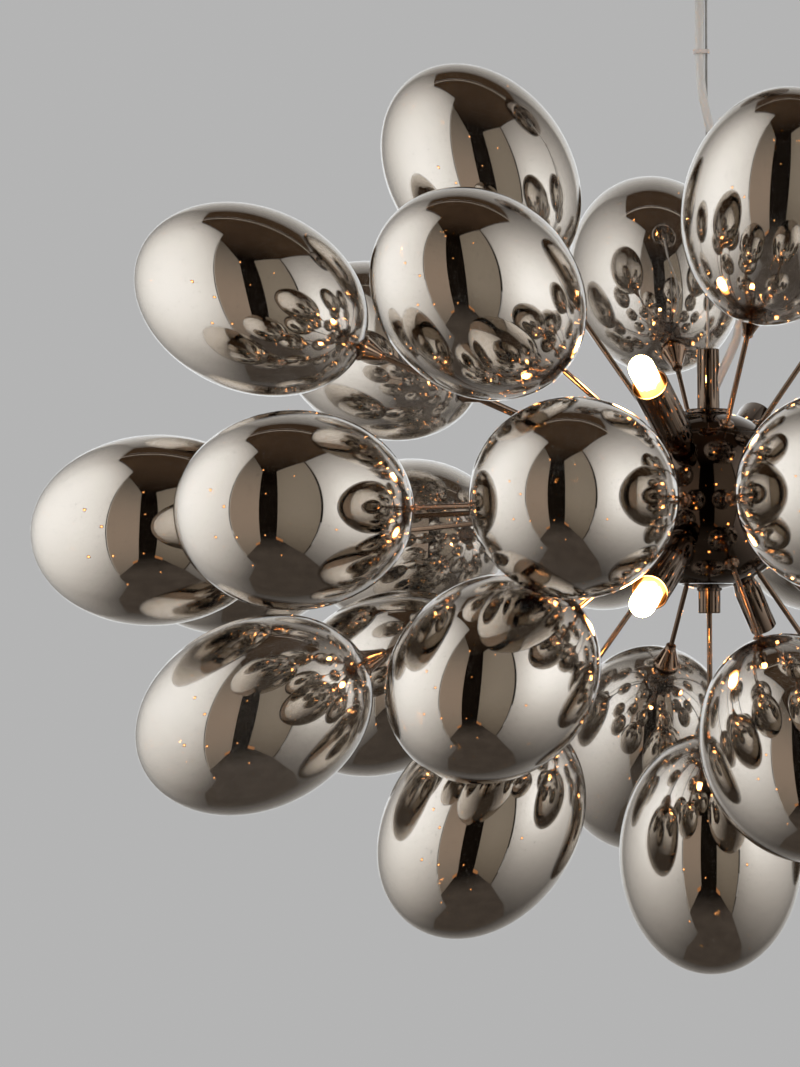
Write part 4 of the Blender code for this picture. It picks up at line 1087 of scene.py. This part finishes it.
def card(name, corners, light):
    """A flat card between corners, counted from the middle of the ball.

    The shades and the metal reflect it. The camera doesn't see it directly, but it can be seen
    through the clear glass of a shade.
    """
    sheet = added(bpy.ops.mesh.primitive_plane_add, name, size=2.0)
    for corner in sheet.data.vertices:
        number = (1 if corner.co.x > 0 else 0) if corner.co.y < 0 else (2 if corner.co.x > 0 else 3)
        x, y, z = corners[number]
        corner.co = (x, y, z - DROP)
    dress(sheet, light)
    for way in ("camera", "diffuse", "shadow"):
        setattr(sheet, f"visible_{way}", False)


def upright(name, start, end, light):
    """A card that stands on a line; each end is x, y, its foot and its top."""
    (x0, y0, low0, high0), (x1, y1, low1, high1) = start, end
    card(name, [(x0, y0, low0), (x1, y1, low1), (x1, y1, high1), (x0, y0, high0)], light)


def lying(name, half, front, back, level, light):
    """A level card as wide as twice the half, from y front to y back."""
    card(name, [(-half, front, level), (half, front, level), (half, back, level),
                (-half, back, level)], light)


def facing(name, middle, half, light):
    """A small square card that faces the middle of the ball."""
    out = middle.normalized()
    side = out.cross(Vector((0.0, 0.0, 1.0))).normalized() * half
    rise = side.cross(out)
    card(name, [middle - side - rise, middle + side - rise, middle + side + rise,
                middle - side + rise], light)


# Small warm lights that stand about the studio, from the middle of the ball
SMALL_LIGHT_SIZE = 0.014
SMALL_LIGHTS = [
    (-0.58, -0.42, 0.16), (-0.50, -0.60, 0.02), (-0.57, -0.44, -0.26), (-0.45, -0.66, -0.36),
    (-0.12, -1.0, -0.52), (-0.20, -0.78, 0.66), (-0.08, -1.2, 0.34), (0.32, -0.95, 0.72),
    (0.52, -0.50, -0.30), (-0.40, -0.45, -0.95), (0.10, -0.80, -1.05), (0.30, 0.9, 1.2),
]


# Small warm cards in a shell between the rods, for more glints in the shades and the metal. They
# aren't lamps of the light: their number, places and strength are a pattern chosen for the look.
# HIDDEN_LAMP_HIGHEST is how far up and down the shell they go, as a share of its radius.
HIDDEN_LAMPS = 34
HIDDEN_LAMP_SIZE = 1.7 * MM
HIDDEN_LAMP_NEAR = 104.0 * MM
HIDDEN_LAMP_STEP = 9.0 * MM
HIDDEN_LAMP_STEPS = 4
HIDDEN_LAMP_HIGHEST = 0.85
GOLDEN_TURN = math.radians(137.5)

MAT_LEVEL = -1.98
DARK_CEILING_LEVEL = 2.3
FLOOR_LEVEL = -4.6
FLOOR_RADIUS = 16.5


def build_studio():
    left = board_light("left_board_light", (-0.2, 0.1), (0.67, 0.67, 1.05, 0.54), 1.66, 0.03)
    right = board_light("right_board_light", (-0.33, 0.05), (0.41, 0.8, 0.58, 0.43), 1.72, 0.02)
    behind = board_light("back_sheet_light", (1.25, 0.1), (2.0, 2.0, 1.0, 0.6), 1.2, 0.0)
    left_grey = board_light("left_grey_light", (-0.8, -0.05), (1.0, 1.0, 0.9, 0.9), 0.38, 0.02,
                            LEFT_GREY_CARD)
    right_grey = board_light("right_grey_light", (-1.0, 0.0), (1.0, 1.0, 2.4, 1.0), 0.33, 0.0,
                             RIGHT_GREY_CARD)
    mat = deep_light("dark_mat_light", (1.0, 0.84, 0.70, 1.0), (-2.9, -1.3), (0.012, 0.088))
    ceiling = deep_light("dark_ceiling_light", (1.0, 0.64, 0.40, 1.0), (-2.3, -0.3),
                         (0.005, 0.066))
    night = plain_light("dark_end_light", (1.0, 0.72, 0.5, 1.0), 0.005, 0.009)
    ember = plain_light("floor_lamp_light", (1.0, 0.45, 0.18, 1.0), 0.3, 0.9)
    pale = plain_light("cross_bar_light", (1.0, 0.95, 0.88, 1.0), 0.8, 1.0)
    edge = plain_light("board_edge_light", (1.0, 0.95, 0.88, 1.0), 0.6, 0.9)
    upright("left_board", (-0.5, -0.69, -1.95, 2.28), (-0.76, 0.15, -1.95, 1.6), left)
    upright("left_board_back", (-0.76, 0.15, -1.95, 1.6), (-0.76, 1.25, -1.95, 2.2), left)
    upright("right_board", (0.55, -0.74, -1.15, 1.25), (0.72, 0.15, -1.5, 1.2), right)
    upright("right_board_back", (0.72, 0.15, -1.5, 1.2), (0.76, 1.25, -1.95, 2.2), right)
    upright("back_sheet", (-0.76, 1.25, -1.95, 2.2), (0.76, 1.25, -1.95, 2.2), behind)
    upright("left_grey_board", (-0.2, -0.9, -0.6, 0.76), (-0.49, -0.707, -1.0, 1.5), left_grey)
    upright("right_grey_board", (0.54, -0.767, -1.14, 1.25), (0.18, -1.35, -0.85, 1.3), right_grey)
    upright("left_edge", (-0.49, -0.707, -1.0, 1.5), (-0.494, -0.70, -1.0, 1.5), edge)
    upright("right_edge", (0.545, -0.755, -1.15, 1.25), (0.54, -0.767, -1.14, 1.25), night)
    lying("dark_mat", 1.8, -3.6, 1.3, MAT_LEVEL, mat)
    lying("dark_ceiling", 3.2, -5.0, 2.0, DARK_CEILING_LEVEL, ceiling)
    upright("dark_end", (-2.5, -3.5, -2.0, 2.1), (2.5, -3.5, -2.0, 2.1), night)
    upright("left_ember", (-0.215, -0.885, -0.66, -0.60), (-0.28, -0.84, -0.68, -0.62), ember)
    upright("right_ember", (0.27, -1.2, -0.95, -0.86), (0.175, -1.345, -0.93, -0.83), ember)
    spark = spark_light()
    for place in SMALL_LIGHTS:
        facing("small_light", Vector(place), SMALL_LIGHT_SIZE, spark)
    glow = plain_light("hidden_lamp_light", (1.0, 0.42, 0.12, 1.0), 26.0, 44.0)
    for number in range(HIDDEN_LAMPS):
        high = HIDDEN_LAMP_HIGHEST * (2 * (number + 0.5) / HIDDEN_LAMPS - 1)
        wide = math.sqrt(1.0 - high * high)
        turn = number * GOLDEN_TURN
        out = Vector((wide * math.sin(turn), -wide * math.cos(turn), high))
        away = HIDDEN_LAMP_NEAR + HIDDEN_LAMP_STEP * (number % HIDDEN_LAMP_STEPS)
        facing("hidden_lamp", out * away, HIDDEN_LAMP_SIZE, glow)
    lying("cross_bar", 1.1, 0.19, 0.205, 1.2, pale)
    build_floor()
    build_world()


def build_floor():
    floor = added(bpy.ops.mesh.primitive_circle_add, "floor", (0.0, 0.0, FLOOR_LEVEL),
                  vertices=96, radius=FLOOR_RADIUS, fill_type="NGON")
    dress(floor, grainy("pale_floor", 2.0, 2.0, (0.60, 0.60, 0.60, 1.0), (0.58, 0.58, 0.58, 1.0),
                        0.8))


def build_world():
    """A grey backdrop for the camera, soft light on dull surfaces, and a dark room to reflect."""
    world = bpy.data.worlds.new("studio")
    bpy.context.scene.world = world
    world.use_nodes = True
    nodes = world.node_tree.nodes
    links = world.node_tree.links
    nodes.clear()

    def background(colour):
        made = nodes.new("ShaderNodeBackground")
        made.inputs[0].default_value = colour
        return made.outputs[0]

    path = nodes.new("ShaderNodeLightPath")
    room = nodes.new("ShaderNodeMixShader")
    whole = nodes.new("ShaderNodeMixShader")
    output = nodes.new("ShaderNodeOutputWorld")
    for start, end in (
            (path.outputs["Is Diffuse Ray"], room.inputs[0]),
            (background((0.006, 0.004, 0.003, 1.0)), room.inputs[1]),
            (background((0.76, 0.76, 0.76, 1.0)), room.inputs[2]),
            (path.outputs["Is Camera Ray"], whole.inputs[0]),
            (room.outputs[0], whole.inputs[1]),
            (background((0.457, 0.457, 0.457, 1.0)), whole.inputs[2]),
            (whole.outputs[0], output.inputs[0])):
        links.new(start, end)


# The camera of the fit to the photograph; its turn, tilt and roll are in degrees
CAMERA_PLACE = (0.000348, -2.282573, -0.455579)
CAMERA_TURN = 4.5209
CAMERA_TILT = 1.9794
CAMERA_ROLL = -0.161


def build_camera():
    lens = bpy.data.cameras.new("camera")
    lens.sensor_width = 36.0
    lens.lens = 132.17
    lens.clip_start = 0.05
    lens.clip_end = 60.0
    camera = bpy.data.objects.new("camera", lens)
    bpy.context.scene.collection.objects.link(camera)
    camera.location = CAMERA_PLACE
    turn = math.radians(CAMERA_TURN)
    tilt = math.radians(CAMERA_TILT)
    forward = Vector((-math.sin(turn) * math.cos(tilt), math.cos(turn) * math.cos(tilt),
                      math.sin(tilt)))
    level = forward.to_track_quat("-Z", "Y").to_matrix()
    roll = Matrix.Rotation(math.radians(CAMERA_ROLL), 3, "Z")
    camera.rotation_euler = (level @ roll).to_euler()
    bpy.context.scene.camera = camera


build_camera()
build_studio()
ARMS = all_arms()
build_shades(ARMS)
build_arms(ARMS)
build_ball()
build_stem()
build_lamps(ARMS)
build_flex()
build_wire()
build_gripper()
build_rose()
build_fixing()
build_block()
finish_nodes()
bpy.context.scene.view_settings.view_transform = "Standard"
